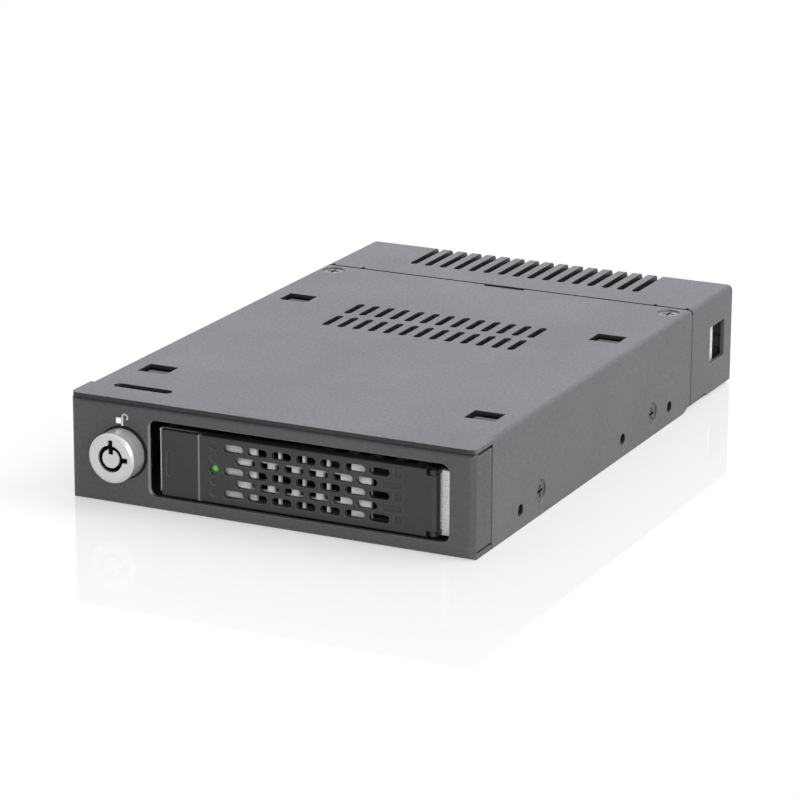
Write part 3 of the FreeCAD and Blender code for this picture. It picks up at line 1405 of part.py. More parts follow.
# Door: moulded lever with a slotted grille, hinged at its right end, and the release button at its left
def make_door():
    door = new_body("door_panel")
    lever = add(
        door, "lever", "XZ_Plane", DOOR_FRONT, DOOR_BACK,
        lambda s: rectangle(s, DOOR_LEFT, HINGE_X, TRAY_LOW, DOOR_TOP),
    )
    front = size(DOOR_FRONT)
    round_edges(
        door, lever, "lever_edges", "door_edge",
        {"Y": front, "Z": size(DOOR_TOP)}, {"Y": front, "Z": size(TRAY_LOW)},
        {"Y": front, "X": size(DOOR_LEFT)},
    )
    add(
        door, "hinge_barrel", "XY_Plane", TRAY_LOW, DOOR_TOP,
        lambda s: circle(s, HINGE_X, HINGE_Y, "door_depth/2"),
    )

    def hinge_corner(sketch):
        rectangle(
            sketch, f"{HINGE_X} - lug_radius - lug_room", f"{HINGE_X} + door_depth",
            f"{DOOR_FRONT} - {PAST}", f"{DOOR_BACK} + {PAST}",
        )

    upper = (f"{DOOR_TOP} - hinge_notch", f"{DOOR_TOP} + {PAST}")
    lower = (f"{TRAY_LOW} - {PAST}", f"{TRAY_LOW} + hinge_notch")
    cut(door, "upper_hinge_notch", "XY_Plane", *upper, hinge_corner)
    cut(door, "lower_hinge_notch", "XY_Plane", *lower, hinge_corner)
    cut(
        door, "hinge_bore", "XY_Plane", f"{TRAY_LOW} - {PAST}", f"{DOOR_TOP} + {PAST}",
        lambda s: circle(s, HINGE_X, HINGE_Y, "hinge_pin_radius + running_gap"),
    )
    cut(
        door, "rear_hollow", "XZ_Plane", f"{DOOR_FRONT} + door_skin", f"{DOOR_BACK} + {PAST}",
        lambda s: soft_rectangle(
            s, f"{DOOR_LEFT} + door_rim", f"{HINGE_X} - door_depth - door_rim", f"{TRAY_LOW} + door_rim",
            f"{DOOR_TOP} - door_rim", "door_rim",
        ),
    )
    skin = (f"{DOOR_FRONT} - {PAST}", f"{DOOR_FRONT} + door_skin + {PAST}")
    odd = cut(door, "slots", "XZ_Plane", *skin, lambda s: grille_rows(s, SLOT_X, OUTER_ROWS))
    linear_pattern(door, odd, "X_Axis", "slot_pitch", SLOT_COUNT)
    even = cut(door, "slots_between", "XZ_Plane", *skin, lambda s: grille_rows(s, SLOT_BETWEEN_X, INNER_ROWS))
    linear_pattern(door, even, "X_Axis", "slot_pitch", SLOT_COUNT_BETWEEN)
    shallow = (f"{DOOR_FRONT} - {PAST}", f"{DOOR_FRONT} + blind_depth")

    def blind_slots(sketch):
        for rows, first in (
            (OUTER_ROWS, f"({SLOT_X} + slot_pitch*{SLOT_COUNT})"),
            (INNER_ROWS, f"({SLOT_BETWEEN_X} + slot_pitch*{SLOT_COUNT_BETWEEN})"),
        ):
            for row_number in rows:
                height = f"({GRILLE_MIDDLE} + {row_number}*{ROW_PITCH})"
                low, high = f"{height} - slot_height/2", f"{height} + slot_height/2"
                rectangle(sketch, first, BLIND_RIGHT, low, high)

    cut(door, "blind_slots", "XZ_Plane", *shallow, blind_slots)
    cut(
        door, "led_hole", "XZ_Plane", f"{DOOR_FRONT} - {PAST}", f"{DOOR_BACK} + {PAST}",
        lambda s: circle(s, LED_X, GRILLE_MIDDLE, "led_radius + nest_gap"),
    )
    cut(
        door, "dimples", "XZ_Plane", f"{DOOR_FRONT} - {PAST}", f"{DOOR_FRONT} + dimple_depth",
        lambda s: [
            circle(s, LED_X, f"{GRILLE_MIDDLE} + {row_number}*{ROW_PITCH}", "dimple_radius")
            for row_number in (*OUTER_ROWS, *INNER_ROWS)
            if row_number
        ],
    )
    lug_left = f"{BUTTON_PIN_X} - knuckle_radius"
    button_back = f"({DOOR_FRONT} + button_plate)"

    def button_lugs(sketch):
        lug_right = f"{DOOR_LEFT} + door_edge"
        rectangle(sketch, lug_left, lug_right, BUTTON_LUG_LOW, f"{BUTTON_LUG_LOW} + button_lug")
        rectangle(sketch, lug_left, lug_right, f"{BUTTON_LUG_HIGH} - button_lug", BUTTON_LUG_HIGH)

    add(door, "button_lugs", "XZ_Plane", f"{button_back} + knuckle_room", DOOR_BACK, button_lugs)
    add(
        door, "spring_tongue", "XZ_Plane", f"{DOOR_BACK} - spring_tongue", DOOR_BACK,
        lambda s: rectangle(
            s, f"{BUTTON_LEFT} + hook_height", f"{DOOR_LEFT} + door_rim",
            f"{LOWER_KNUCKLE} + knuckle_height + tongue_room", f"{UPPER_KNUCKLE} - tongue_room",
        ),
    )
    cut(
        door, "button_pin_bore", "XY_Plane", f"{BUTTON_LUG_LOW} - {PAST}", f"{BUTTON_LUG_HIGH} + {PAST}",
        lambda s: circle(s, BUTTON_PIN_X, BUTTON_PIN_Y, "button_pin_radius + running_gap/3"),
    )
    lens = new_body("led_lens")
    add(
        lens, "lens_stem", "XZ_Plane", f"{DOOR_FRONT} + dimple_depth", DOOR_BACK,
        lambda s: circle(s, LED_X, GRILLE_MIDDLE, "led_radius"),
    )
    pin = new_body("button_pin")
    add(
        pin, "button_pin_form", "XY_Plane", BUTTON_LUG_LOW, BUTTON_LUG_HIGH,
        lambda s: circle(s, BUTTON_PIN_X, BUTTON_PIN_Y, "button_pin_radius"),
    )
    spring = new_body("button_spring")
    tongue_front = f"({DOOR_BACK} - spring_tongue)"
    crest = f"({button_back} + running_gap)"
    left = f"({BUTTON_LEFT} + hook_height + door_edge)"
    right = f"({BUTTON_PIN_X} - 2*knuckle_radius)"
    middle = f"(({left} + {right})/2)"
    add(
        spring, "leaf", "XY_Plane", f"{DOOR_MIDDLE} - spring_width/2", f"{DOOR_MIDDLE} + spring_width/2",
        lambda s: polygon(
            s,
            [
                (left, tongue_front), (f"{left} + 4*spring_sheet", tongue_front),
                (middle, f"{crest} + spring_sheet"), (f"{right} - 4*spring_sheet", tongue_front),
                (right, tongue_front), (middle, crest),
            ],
        ),
    )

    button = new_body("release_button")
    plate = add(
        button, "button_plate", "XZ_Plane", DOOR_FRONT, button_back,
        lambda s: rectangle(s, BUTTON_LEFT, BUTTON_RIGHT, TRAY_LOW, DOOR_TOP),
    )
    round_edges(
        button, plate, "button_edges", "door_edge",
        {"Y": front, "Z": size(DOOR_TOP)}, {"Y": front, "Z": size(TRAY_LOW)},
        {"Y": front, "X": size(BUTTON_LEFT)}, {"Y": front, "X": size(BUTTON_RIGHT)},
    )
    bar_x = f"({BUTTON_LEFT} + grip_bar_inset)"
    cut(
        button, "grip_bar", "XZ_Plane", f"{DOOR_FRONT} - {PAST}", f"{DOOR_FRONT} + grip_bar_depth",
        lambda s: slot(
            s, bar_x, bar_x, f"{DOOR_MIDDLE} - grip_bar_length/2", f"{DOOR_MIDDLE} + grip_bar_length/2",
            "grip_bar_width", True,
        ),
    )
    for name, low in (("lower", LOWER_KNUCKLE), ("upper", UPPER_KNUCKLE)):
        add(
            button, f"{name}_knuckle", "XY_Plane", low, f"{low} + knuckle_height",
            lambda s: circle(s, BUTTON_PIN_X, BUTTON_PIN_Y, "knuckle_radius"),
        )
        add(
            button, f"{name}_knuckle_root", "XY_Plane", low, f"{low} + knuckle_height",
            lambda s: rectangle(
                s, f"{BUTTON_PIN_X} - knuckle_radius", f"{BUTTON_PIN_X} + knuckle_radius",
                f"{button_back} - knuckle_room", BUTTON_PIN_Y,
            ),
        )
    cut(
        button, "button_bore", "XY_Plane", BUTTON_LUG_LOW, BUTTON_LUG_HIGH,
        lambda s: circle(s, BUTTON_PIN_X, BUTTON_PIN_Y, "button_pin_radius + running_gap"),
    )
    hook_root = f"({button_back} - knuckle_room)"
    hook_right = f"({HOOK_LEFT} + hook_arm)"
    hook_end = f"({PLATE_BACK} + hook_arm)"
    add(
        button, "hook", "XY_Plane", HOOK_LOW, f"{HOOK_LOW} + hook_height",
        lambda s: polygon(
            s,
            [
                (HOOK_LEFT, hook_root), (hook_right, hook_root), (hook_right, f"{PLATE_BACK} + slide_gap"),
                (f"{hook_right} + hook_nose", f"{PLATE_BACK} + slide_gap"),
                (hook_right, hook_end), (HOOK_LEFT, hook_end),
            ],
        ),
    )


BUTTON_LUG_LOW = f"({TRAY_LOW} + door_edge)"
BUTTON_LUG_HIGH = f"({DOOR_TOP} - door_edge)"
LOWER_KNUCKLE = f"({BUTTON_LUG_LOW} + button_lug + knuckle_room)"
UPPER_KNUCKLE = f"({BUTTON_LUG_HIGH} - button_lug - knuckle_room - knuckle_height)"

make_base_chassis()
make_top_cover()
make_rear_cap()
make_guide_rail(
    "left_guide_rail", LEFT_WEB, "-", "left_foot", TRAY_INNER_LEFT, f"{LEFT_WEB} + lip_height",
    f"-{WINDOW_X} - window_width/2", LEFT_SCREW_X,
)
make_guide_rail(
    "right_guide_rail", RIGHT_WEB, "+", "rail_foot", TRAY_INNER_RIGHT, f"{WINDOW_X} - window_width/2",
    f"{RIGHT_WEB} + rail_web + rail_foot", RIGHT_SCREW_X,
)
make_flat_screws()
make_rail_screws()
make_board()
make_connectors()
make_lock()
make_tray()
make_door()
doc.recompute()

failed = [item.Label for item in doc.Objects if "Invalid" in item.State or "Error" in item.State]
failed += [piece.Label for piece in subparts if piece.Shape.isNull() or not piece.Shape.isValid()]
if failed:
    raise RuntimeError(f"these objects did not build: {failed}")

os.makedirs("parts", exist_ok=True)
for piece in subparts:
    piece.Shape.exportStep(f"parts/{piece.Label}.step")
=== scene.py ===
import math

import bmesh
import bpy
from mathutils import Matrix, Vector


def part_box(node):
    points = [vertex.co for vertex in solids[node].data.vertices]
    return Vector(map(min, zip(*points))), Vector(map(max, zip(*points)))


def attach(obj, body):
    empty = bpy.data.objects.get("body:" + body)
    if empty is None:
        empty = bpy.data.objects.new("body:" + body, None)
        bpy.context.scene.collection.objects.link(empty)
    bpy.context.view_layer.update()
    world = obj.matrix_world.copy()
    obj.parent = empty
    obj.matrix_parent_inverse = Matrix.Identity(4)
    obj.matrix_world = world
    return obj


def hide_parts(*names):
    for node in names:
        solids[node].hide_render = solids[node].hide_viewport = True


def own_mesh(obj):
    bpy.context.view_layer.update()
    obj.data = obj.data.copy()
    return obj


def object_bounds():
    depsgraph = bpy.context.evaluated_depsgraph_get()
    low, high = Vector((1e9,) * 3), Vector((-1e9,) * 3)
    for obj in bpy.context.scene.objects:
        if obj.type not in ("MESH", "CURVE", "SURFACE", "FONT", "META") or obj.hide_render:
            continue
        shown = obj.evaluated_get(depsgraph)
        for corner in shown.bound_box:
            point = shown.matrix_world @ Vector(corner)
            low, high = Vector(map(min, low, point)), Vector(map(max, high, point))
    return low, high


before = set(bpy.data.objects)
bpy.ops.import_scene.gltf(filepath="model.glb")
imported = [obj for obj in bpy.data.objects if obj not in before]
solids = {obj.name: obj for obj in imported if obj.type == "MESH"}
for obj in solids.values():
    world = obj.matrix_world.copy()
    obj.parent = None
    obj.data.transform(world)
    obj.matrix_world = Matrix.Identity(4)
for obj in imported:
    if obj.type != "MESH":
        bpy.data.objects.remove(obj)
cad_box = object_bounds()

# Base chassis, top cover and rear cap: folded steel sheet in grey powder coat, baked on after folding.
# The coat is a little rough all over, and paler at each edge: partly wear, partly a painted highlight.
# The base is painted a shade darker and the cover's slot walls and sheet ends near black, both painted
# shade.


def value_group(name, inputs, outputs):
    """A shader group with named values going in and out, and its two end nodes."""
    group = bpy.data.node_groups.new(name, "ShaderNodeTree")
    for label, value in inputs.items():
        socket = group.interface.new_socket(label, in_out="INPUT", socket_type="NodeSocketFloat")
        socket.default_value = value
    for label in outputs:
        group.interface.new_socket(label, in_out="OUTPUT", socket_type="NodeSocketFloat")
    return group, group.nodes.new("NodeGroupInput"), group.nodes.new("NodeGroupOutput")


def noise(tree, scale, detail, roughness=0.55):
    """A noise texture on the piece's own coordinates; scale is a number or a socket."""
    place = tree.nodes.new("ShaderNodeTexCoord")
    texture = tree.nodes.new("ShaderNodeTexNoise")
    tree.links.new(place.outputs["Object"], texture.inputs["Vector"])
    texture.inputs["Detail"].default_value = detail
    texture.inputs["Roughness"].default_value = roughness
    if isinstance(scale, (int, float)):
        texture.inputs["Scale"].default_value = scale
    else:
        tree.links.new(scale, texture.inputs["Scale"])
    return texture.outputs["Fac"]


def spread(tree, value, low, high, to_low=0.0, to_high=1.0):
    """Stretches a value from one span to another."""
    span = tree.nodes.new("ShaderNodeMapRange")
    tree.links.new(value, span.inputs["Value"])
    for label, number in (("From Min", low), ("From Max", high), ("To Min", to_low), ("To Max", to_high)):
        span.inputs[label].default_value = number
    return span.outputs["Result"]


def blend_values(tree, operation, first, second):
    """Joins two values by a math operation; each is a number or a socket."""
    joined = tree.nodes.new("ShaderNodeMath")
    joined.operation = operation
    for place, value in enumerate((first, second)):
        if isinstance(value, (int, float)):
            joined.inputs[place].default_value = value
        else:
            tree.links.new(value, joined.inputs[place])
    return joined.outputs[0]


# Grain shared by paint and mouldings: fine pimples, pale flecks and slow changes of tone
grain, grain_in, grain_out = value_group(
    "surface_grain", {"Fineness": 2400.0, "Fleck": 0.5}, ("Tone", "Height")
)
fleck_size = 0.55
cloud_scale = 38.0
pimples = noise(grain, grain_in.outputs["Fineness"], 2.0)
flecks = noise(grain, blend_values(grain, "MULTIPLY", grain_in.outputs["Fineness"], fleck_size), 3.0, 0.7)
clouds = noise(grain, cloud_scale, 2.0)
fleck_tone = spread(grain, flecks, 0.32, 0.68, -0.5, 0.5)
fleck_tone = blend_values(grain, "MULTIPLY", fleck_tone, grain_in.outputs["Fleck"])
cloud_tone = spread(grain, clouds, 0.3, 0.7, 0.4, 0.6)
grain.links.new(blend_values(grain, "ADD", cloud_tone, fleck_tone), grain_out.inputs["Tone"])
grain.links.new(pimples, grain_out.inputs["Height"])

# Edges shared by paint and mouldings: a narrow paler band, partly wear from handling and the mould and
# partly a painted highlight
wear_and_highlight, wear_and_highlight_in, wear_and_highlight_out = value_group("worn_and_highlit_edges", {"Reach": 0.0003}, ("Mask",))
rounded = wear_and_highlight.nodes.new("ShaderNodeBevel")
rounded.samples = 6
wear_and_highlight.links.new(wear_and_highlight_in.outputs["Reach"], rounded.inputs["Radius"])
surface = wear_and_highlight.nodes.new("ShaderNodeNewGeometry")
turned = wear_and_highlight.nodes.new("ShaderNodeVectorMath")
turned.operation = "DOT_PRODUCT"
wear_and_highlight.links.new(rounded.outputs["Normal"], turned.inputs[0])
wear_and_highlight.links.new(surface.outputs["Normal"], turned.inputs[1])
wear_and_highlight.links.new(spread(wear_and_highlight, turned.outputs["Value"], 0.97, 0.78), wear_and_highlight_out.inputs["Mask"])


def new_finish(name, metallic=0.0):
    """An empty material with its Principled shader."""
    material = bpy.data.materials.new(name)
    material.use_nodes = True
    shader = material.node_tree.nodes["Principled BSDF"]
    shader.inputs["Metallic"].default_value = metallic
    return material, material.node_tree, shader


def tint(tree, tone, dark, light):
    """A colour that runs from dark to light along the tone; either may be a socket."""
    mix = tree.nodes.new("ShaderNodeMix")
    mix.data_type = "RGBA"
    colour_a, colour_b, colour_out = 6, 7, 2
    tree.links.new(tone, mix.inputs[0])
    for place, colour in ((colour_a, dark), (colour_b, light)):
        if isinstance(colour, tuple):
            mix.inputs[place].default_value = (*colour, 1.0)
        else:
            tree.links.new(colour, mix.inputs[place])
    return mix.outputs[colour_out]


def relief(tree, shader, height, depth, strength, edge=0.0):
    """Bump from the height, over edges rounded by the given radius."""
    bump = tree.nodes.new("ShaderNodeBump")
    bump.inputs["Strength"].default_value = strength
    bump.inputs["Distance"].default_value = depth
    tree.links.new(height, bump.inputs["Height"])
    if edge:
        soft = tree.nodes.new("ShaderNodeBevel")
        soft.samples = 4
        soft.inputs["Radius"].default_value = edge
        tree.links.new(soft.outputs["Normal"], bump.inputs["Normal"])
    tree.links.new(bump.outputs["Normal"], shader.inputs["Normal"])


def grained_finish(
    name, dark, light, fineness, fleck, depth, rough, edge=0.0, wear_and_highlight_colour=None, marks=(), gloss=0.5
):
    """Paint or moulded plastic with the shared grain.

    wear_and_highlight_colour is the colour along edges: partly wear, partly a painted highlight.
    marks are pairs: a function that makes a mask, and the colour there.
    """
    material, tree, shader = new_finish(name)
    group = tree.nodes.new("ShaderNodeGroup")
    group.node_tree = grain
    group.inputs["Fineness"].default_value = fineness
    group.inputs["Fleck"].default_value = fleck
    colour = tint(tree, group.outputs["Tone"], dark, light)
    # The paler band along edges is partly wear and partly a painted highlight
    if wear_and_highlight_colour:
        edges = tree.nodes.new("ShaderNodeGroup")
        edges.node_tree = wear_and_highlight
        edges.inputs["Reach"].default_value = edge
        colour = tint(tree, edges.outputs["Mask"], colour, wear_and_highlight_colour)
    for mask, marked in marks:
        colour = tint(tree, mask(tree), colour, marked)
    tree.links.new(colour, shader.inputs["Base Color"])
    swing = 0.06
    roughness = spread(tree, group.outputs["Tone"], 0.2, 0.8, rough + swing, rough - swing)
    tree.links.new(roughness, shader.inputs["Roughness"])
    shader.inputs["Specular IOR Level"].default_value = gloss
    relief(tree, shader, group.outputs["Height"], depth, 0.6, edge)
    return material


def dress(material, *names):
    """Puts the material on the named solids."""
    for name in names:
        for place in solids[name].material_slots:
            place.material = material


def facing_and_spot(tree):
    """The surface's direction and its place on the piece, as outputs X, Y and Z."""
    place = tree.nodes.new("ShaderNodeTexCoord")
    facing = tree.nodes.new("ShaderNodeSeparateXYZ")
    tree.links.new(place.outputs["Normal"], facing.inputs[0])
    spot = tree.nodes.new("ShaderNodeSeparateXYZ")
    tree.links.new(place.outputs["Object"], spot.inputs[0])
    return facing.outputs, spot.outputs


def inner_walls(tree, facing, spot):
    """Mask of walls that face left or right, apart from the outer sides."""
    inside_sides = 0.049
    sideways = spread(tree, blend_values(tree, "ABSOLUTE", facing["X"], 0.0), 0.5, 0.8)
    across = blend_values(tree, "ABSOLUTE", spot["X"], 0.0)
    return blend_values(tree, "MULTIPLY", sideways, blend_values(tree, "LESS_THAN", across, inside_sides))


def painted_shade_walls(tree):
    """Mask of slot walls and of the sheets' ends at the seam, painted near black as painted shade."""
    window_front = cad_box[1].y - 0.0168
    facing, spot = facing_and_spot(tree)
    endways = spread(tree, blend_values(tree, "ABSOLUTE", facing["Y"], 0.0), 0.5, 0.8)
    before_window = blend_values(tree, "LESS_THAN", spot["Y"], window_front)
    sheet_ends = blend_values(tree, "MULTIPLY", endways, before_window)
    return blend_values(tree, "MAXIMUM", sheet_ends, inner_walls(tree, facing, spot))


def opening_wall_highlight(tree):
    """Mask of the bezel's cut edge round the door, painted pale as a painted highlight."""
    bezel_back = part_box("base_chassis")[0].y + 0.0013
    facing, spot = facing_and_spot(tree)
    in_sheet = blend_values(tree, "LESS_THAN", spot["Y"], bezel_back)
    return blend_values(tree, "MULTIPLY", in_sheet, inner_walls(tree, facing, spot))


coat_feel = {
    "fineness": 2300.0, "fleck": 0.5, "depth": 0.000035, "rough": 0.46,
    # paler edge colour: partly wear, partly a painted highlight
    "edge": 0.0003, "wear_and_highlight_colour": (0.19, 0.189, 0.197),
}
# The base's coat is painted a shade darker than the cover's: painted shade on the front bezel.
shaded_base_coat = grained_finish(
    "shaded_base_coat", (0.0520, 0.0515, 0.0550), (0.0850, 0.084, 0.0900), **coat_feel,
    # The bezel's cut edge round the door is painted pale: a painted highlight.
    marks=((opening_wall_highlight, (0.34, 0.34, 0.345)),), gloss=0.28,
)
dress(shaded_base_coat, "base_chassis")
cover_coat = grained_finish(
    "cover_coat", (0.0610, 0.0600, 0.0660), (0.0990, 0.0975, 0.1070), **coat_feel,
    # The cover's slot walls and sheet ends are painted near black: painted shade.
    marks=((painted_shade_walls, (0.009, 0.009, 0.0095)),), gloss=0.47,
)
dress(cover_coat, "top_cover", "rear_cap")

# Guide rails: moulded black runners, screwed to the floor and hooked into the cover's windows.
# Their plastic is plain and slightly rough, like the inside of most trays.
rail_plastic = grained_finish(
    "rail_plastic", (0.012, 0.012, 0.013), (0.026, 0.026, 0.028),
    fineness=1500.0, fleck=0.3, depth=0.00003, rough=0.5, edge=0.0002,
)
dress(rail_plastic, "left_guide_rail", "right_guide_rail")

# Screws: flat-head and pan-head steel, plated dark grey, turned home with a cross driver.
# The plating is thin, so its tone is a little cloudy.


def plated_finish(name, dark, light, rough, scale, metallic=1.0):
    """Plated metal with faint cloudy changes of tone."""
    material, tree, shader = new_finish(name, metallic)
    tone = spread(tree, noise(tree, scale, 3.0), 0.3, 0.7)
    tree.links.new(tint(tree, tone, dark, light), shader.inputs["Base Color"])
    swing = 0.07
    tree.links.new(spread(tree, tone, 0.0, 1.0, rough + swing, rough - swing), shader.inputs["Roughness"])
    relief(tree, shader, tone, 0.00002, 0.4, 0.00015)
    return material


dark_plating = plated_finish(
    "dark_plating", (0.060, 0.060, 0.062), (0.12, 0.12, 0.124), rough=0.3, scale=1400.0, metallic=0.85
)
dress(dark_plating, "side_screws", "top_screws", "rear_screws", "rail_screws", "board_screws")

# Circuit board: green laminate with buried tracks, on four turned brass standoffs.
# Solder mask covers the tracks, so they show only as slightly raised paler lines.
board_finish, tree, shader = new_finish("solder_mask")
place = tree.nodes.new("ShaderNodeTexCoord")
tracks = tree.nodes.new("ShaderNodeTexBrick")
tracks.offset = 0.37
tracks.squash = 0.6
tree.links.new(place.outputs["Object"], tracks.inputs["Vector"])
for label, number in (("Scale", 160.0), ("Mortar Size", 0.035), ("Brick Width", 0.9), ("Row Height", 0.22)):
    tracks.inputs[label].default_value = number
mask_green = tint(tree, tracks.outputs["Fac"], (0.006, 0.055, 0.024), (0.018, 0.12, 0.05))
tree.links.new(mask_green, shader.inputs["Base Color"])
shader.inputs["Roughness"].default_value = 0.3
relief(tree, shader, tracks.outputs["Fac"], 0.00003, 0.5)
dress(board_finish, "main_board")
turned_brass = plated_finish(
    "turned_brass", (0.48, 0.33, 0.11), (0.66, 0.49, 0.2), rough=0.3, scale=900.0
)
dress(turned_brass, "board_standoffs")

# Connectors: black moulded bodies for the drive and the power plug, and a plated data cage.
# They are soldered to the board, and their gilt contacts stand in rows along each tongue.
connector_plastic = grained_finish(
    "connector_plastic", (0.012, 0.012, 0.013), (0.025, 0.025, 0.027),
    fineness=1800.0, fleck=0.4, depth=0.00003, rough=0.42, edge=0.0001,
)
dress(connector_plastic, "drive_socket", "power_port", "board_chip")
cage_plating = plated_finish(
    "cage_plating", (0.62, 0.62, 0.62), (0.76, 0.76, 0.76), rough=0.3, scale=260.0, metallic=0.3
)
dress(cage_plating, "data_port")
gilt = plated_finish("gilt_contact", (0.72, 0.5, 0.16), (0.86, 0.64, 0.26), rough=0.22, scale=1200.0)


def growing_tree(name, inputs):
    """A Geometry Nodes tree, its inputs' identifiers by label, and its two end nodes."""
    tree = bpy.data.node_groups.new(name, "GeometryNodeTree")
    sockets = {}
    for label, kind in inputs:
        sockets[label] = tree.interface.new_socket(label, in_out="INPUT", socket_type=kind).identifier
    tree.interface.new_socket("Geometry", in_out="OUTPUT", socket_type="NodeSocketGeometry")
    return tree, sockets, tree.nodes.new("NodeGroupInput"), tree.nodes.new("NodeGroupOutput")


def grown_piece(name, tree, sockets, values):
    """A new piece, with what the tree makes from the values as its own plain mesh."""
    piece = bpy.data.objects.new(name, bpy.data.meshes.new(name))
    bpy.context.scene.collection.objects.link(piece)
    growth = piece.modifiers.new("growth", "NODES")
    growth.node_group = tree
    for label, value in values:
        growth[sockets[label]] = value
    shown = piece.evaluated_get(bpy.context.evaluated_depsgraph_get())
    mesh = bpy.data.meshes.new_from_object(shown)
    piece.modifiers.clear()
    piece.data = mesh
    return piece


contact_tree, contact_inputs, row_in, row_out = growing_tree("contact_row", (
    ("Count", "NodeSocketInt"), ("Pitch", "NodeSocketFloat"), ("First", "NodeSocketVector"),
    ("Contact", "NodeSocketVector"), ("Finish", "NodeSocketMaterial"),
))
row_line = contact_tree.nodes.new("GeometryNodeMeshLine")
row_step = contact_tree.nodes.new("ShaderNodeCombineXYZ")
row_contact = contact_tree.nodes.new("GeometryNodeMeshCube")
row_copies = contact_tree.nodes.new("GeometryNodeInstanceOnPoints")
row_solid = contact_tree.nodes.new("GeometryNodeRealizeInstances")
row_finish = contact_tree.nodes.new("GeometryNodeSetMaterial")
for start, end in (
    (row_in.outputs["Count"], row_line.inputs["Count"]),
    (row_in.outputs["Pitch"], row_step.inputs["X"]),
    (row_step.outputs[0], row_line.inputs["Offset"]),
    (row_in.outputs["First"], row_line.inputs["Start Location"]),
    (row_in.outputs["Contact"], row_contact.inputs["Size"]),
    (row_line.outputs["Mesh"], row_copies.inputs["Points"]),
    (row_contact.outputs["Mesh"], row_copies.inputs["Instance"]),
    (row_copies.outputs["Instances"], row_solid.inputs["Geometry"]),
    (row_solid.outputs["Geometry"], row_finish.inputs["Geometry"]),
    (row_in.outputs["Finish"], row_finish.inputs["Material"]),
    (row_finish.outputs["Geometry"], row_out.inputs["Geometry"]),
):
    contact_tree.links.new(start, end)


def contact_row(name, count, pitch, middle, contact):
    """A row of like contacts along X, with its middle at the given place."""
    first = (middle[0] - pitch * (count - 1) / 2, middle[1], middle[2])
    piece = grown_piece(name, contact_tree, contact_inputs, (
        ("Count", count), ("Pitch", pitch), ("First", first), ("Contact", contact), ("Finish", gilt),
    ))
    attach(piece, "case")


drive_pitch = 0.00127
data_pitch = 0.0014
socket_low, socket_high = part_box("drive_socket")
socket_middle = (socket_low + socket_high) / 2
socket_tongue = (socket_middle.x, socket_low.y + 0.0022, socket_middle.z - 0.0006)
contact_row("socket_contacts", 22, drive_pitch, socket_tongue, (0.0006, 0.0036, 0.0002))
power_low, power_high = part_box("power_port")
power_middle = (power_low + power_high) / 2
power_tongue = (power_middle.x, power_high.y - 0.0040, power_middle.z - 0.0007)
contact_row("power_contacts", 15, drive_pitch, power_tongue, (0.0007, 0.0052, 0.0002))
data_low, data_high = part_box("data_port")
data_middle = (data_low + data_high) / 2
data_tongue = (data_middle.x, data_high.y - 0.0105, data_middle.z)
contact_row("data_contacts", 9, data_pitch, data_tongue, (0.0007, 0.0066, 0.0003))

# Small board parts: ceramic capacitors on the left of the chip and resistors on its right.
# Each is a fired body between two tinned ends, placed by machine and soldered down.
part_tree, part_inputs, parts_in, parts_out = growing_tree("soldered_parts", (
    ("Columns", "NodeSocketInt"), ("Rows", "NodeSocketInt"), ("Width", "NodeSocketFloat"),
    ("Depth", "NodeSocketFloat"), ("Middle", "NodeSocketVector"), ("Part", "NodeSocketVector"),
    ("Share", "NodeSocketFloat"), ("Seed", "NodeSocketInt"), ("Finish", "NodeSocketMaterial"),
))
# A Random Value node has a set of sockets for each kind of value, told apart by their order
whole_least, whole_most, whole_out, truth_out = 4, 5, 2, 3
parts_grid = part_tree.nodes.new("GeometryNodeMeshGrid")
parts_shape = part_tree.nodes.new("GeometryNodeMeshCube")
parts_kept = part_tree.nodes.new("FunctionNodeRandomValue")
parts_kept.data_type = "BOOLEAN"
parts_turn = part_tree.nodes.new("FunctionNodeRandomValue")
parts_turn.data_type = "INT"
parts_turn.inputs[whole_least].default_value = 0
parts_turn.inputs[whole_most].default_value = 1
parts_angle = part_tree.nodes.new("ShaderNodeMath")
parts_angle.operation = "MULTIPLY"
parts_angle.inputs[1].default_value = math.pi / 2
parts_upright = part_tree.nodes.new("ShaderNodeCombineXYZ")
parts_copies = part_tree.nodes.new("GeometryNodeInstanceOnPoints")
parts_place = part_tree.nodes.new("GeometryNodeTransform")
parts_solid = part_tree.nodes.new("GeometryNodeRealizeInstances")
parts_finish = part_tree.nodes.new("GeometryNodeSetMaterial")
for start, end in (
    (parts_in.outputs["Columns"], parts_grid.inputs["Vertices X"]),
    (parts_in.outputs["Rows"], parts_grid.inputs["Vertices Y"]),
    (parts_in.outputs["Width"], parts_grid.inputs["Size X"]),
    (parts_in.outputs["Depth"], parts_grid.inputs["Size Y"]),
    (parts_in.outputs["Part"], parts_shape.inputs["Size"]),
    (parts_in.outputs["Share"], parts_kept.inputs["Probability"]),
    (parts_in.outputs["Seed"], parts_kept.inputs["Seed"]),
    (parts_in.outputs["Seed"], parts_turn.inputs["Seed"]),
    (parts_turn.outputs[whole_out], parts_angle.inputs[0]),
    (parts_angle.outputs[0], parts_upright.inputs["Z"]),
    (parts_grid.outputs["Mesh"], parts_copies.inputs["Points"]),
    (parts_kept.outputs[truth_out], parts_copies.inputs["Selection"]),
    (parts_shape.outputs["Mesh"], parts_copies.inputs["Instance"]),
    (parts_upright.outputs[0], parts_copies.inputs["Rotation"]),
    (parts_copies.outputs["Instances"], parts_place.inputs["Geometry"]),
    (parts_in.outputs["Middle"], parts_place.inputs["Translation"]),
    (parts_place.outputs["Geometry"], parts_solid.inputs["Geometry"]),
    (parts_solid.outputs["Geometry"], parts_finish.inputs["Geometry"]),
    (parts_in.outputs["Finish"], parts_finish.inputs["Material"]),
    (parts_finish.outputs["Geometry"], parts_out.inputs["Geometry"]),
):
    part_tree.links.new(start, end)

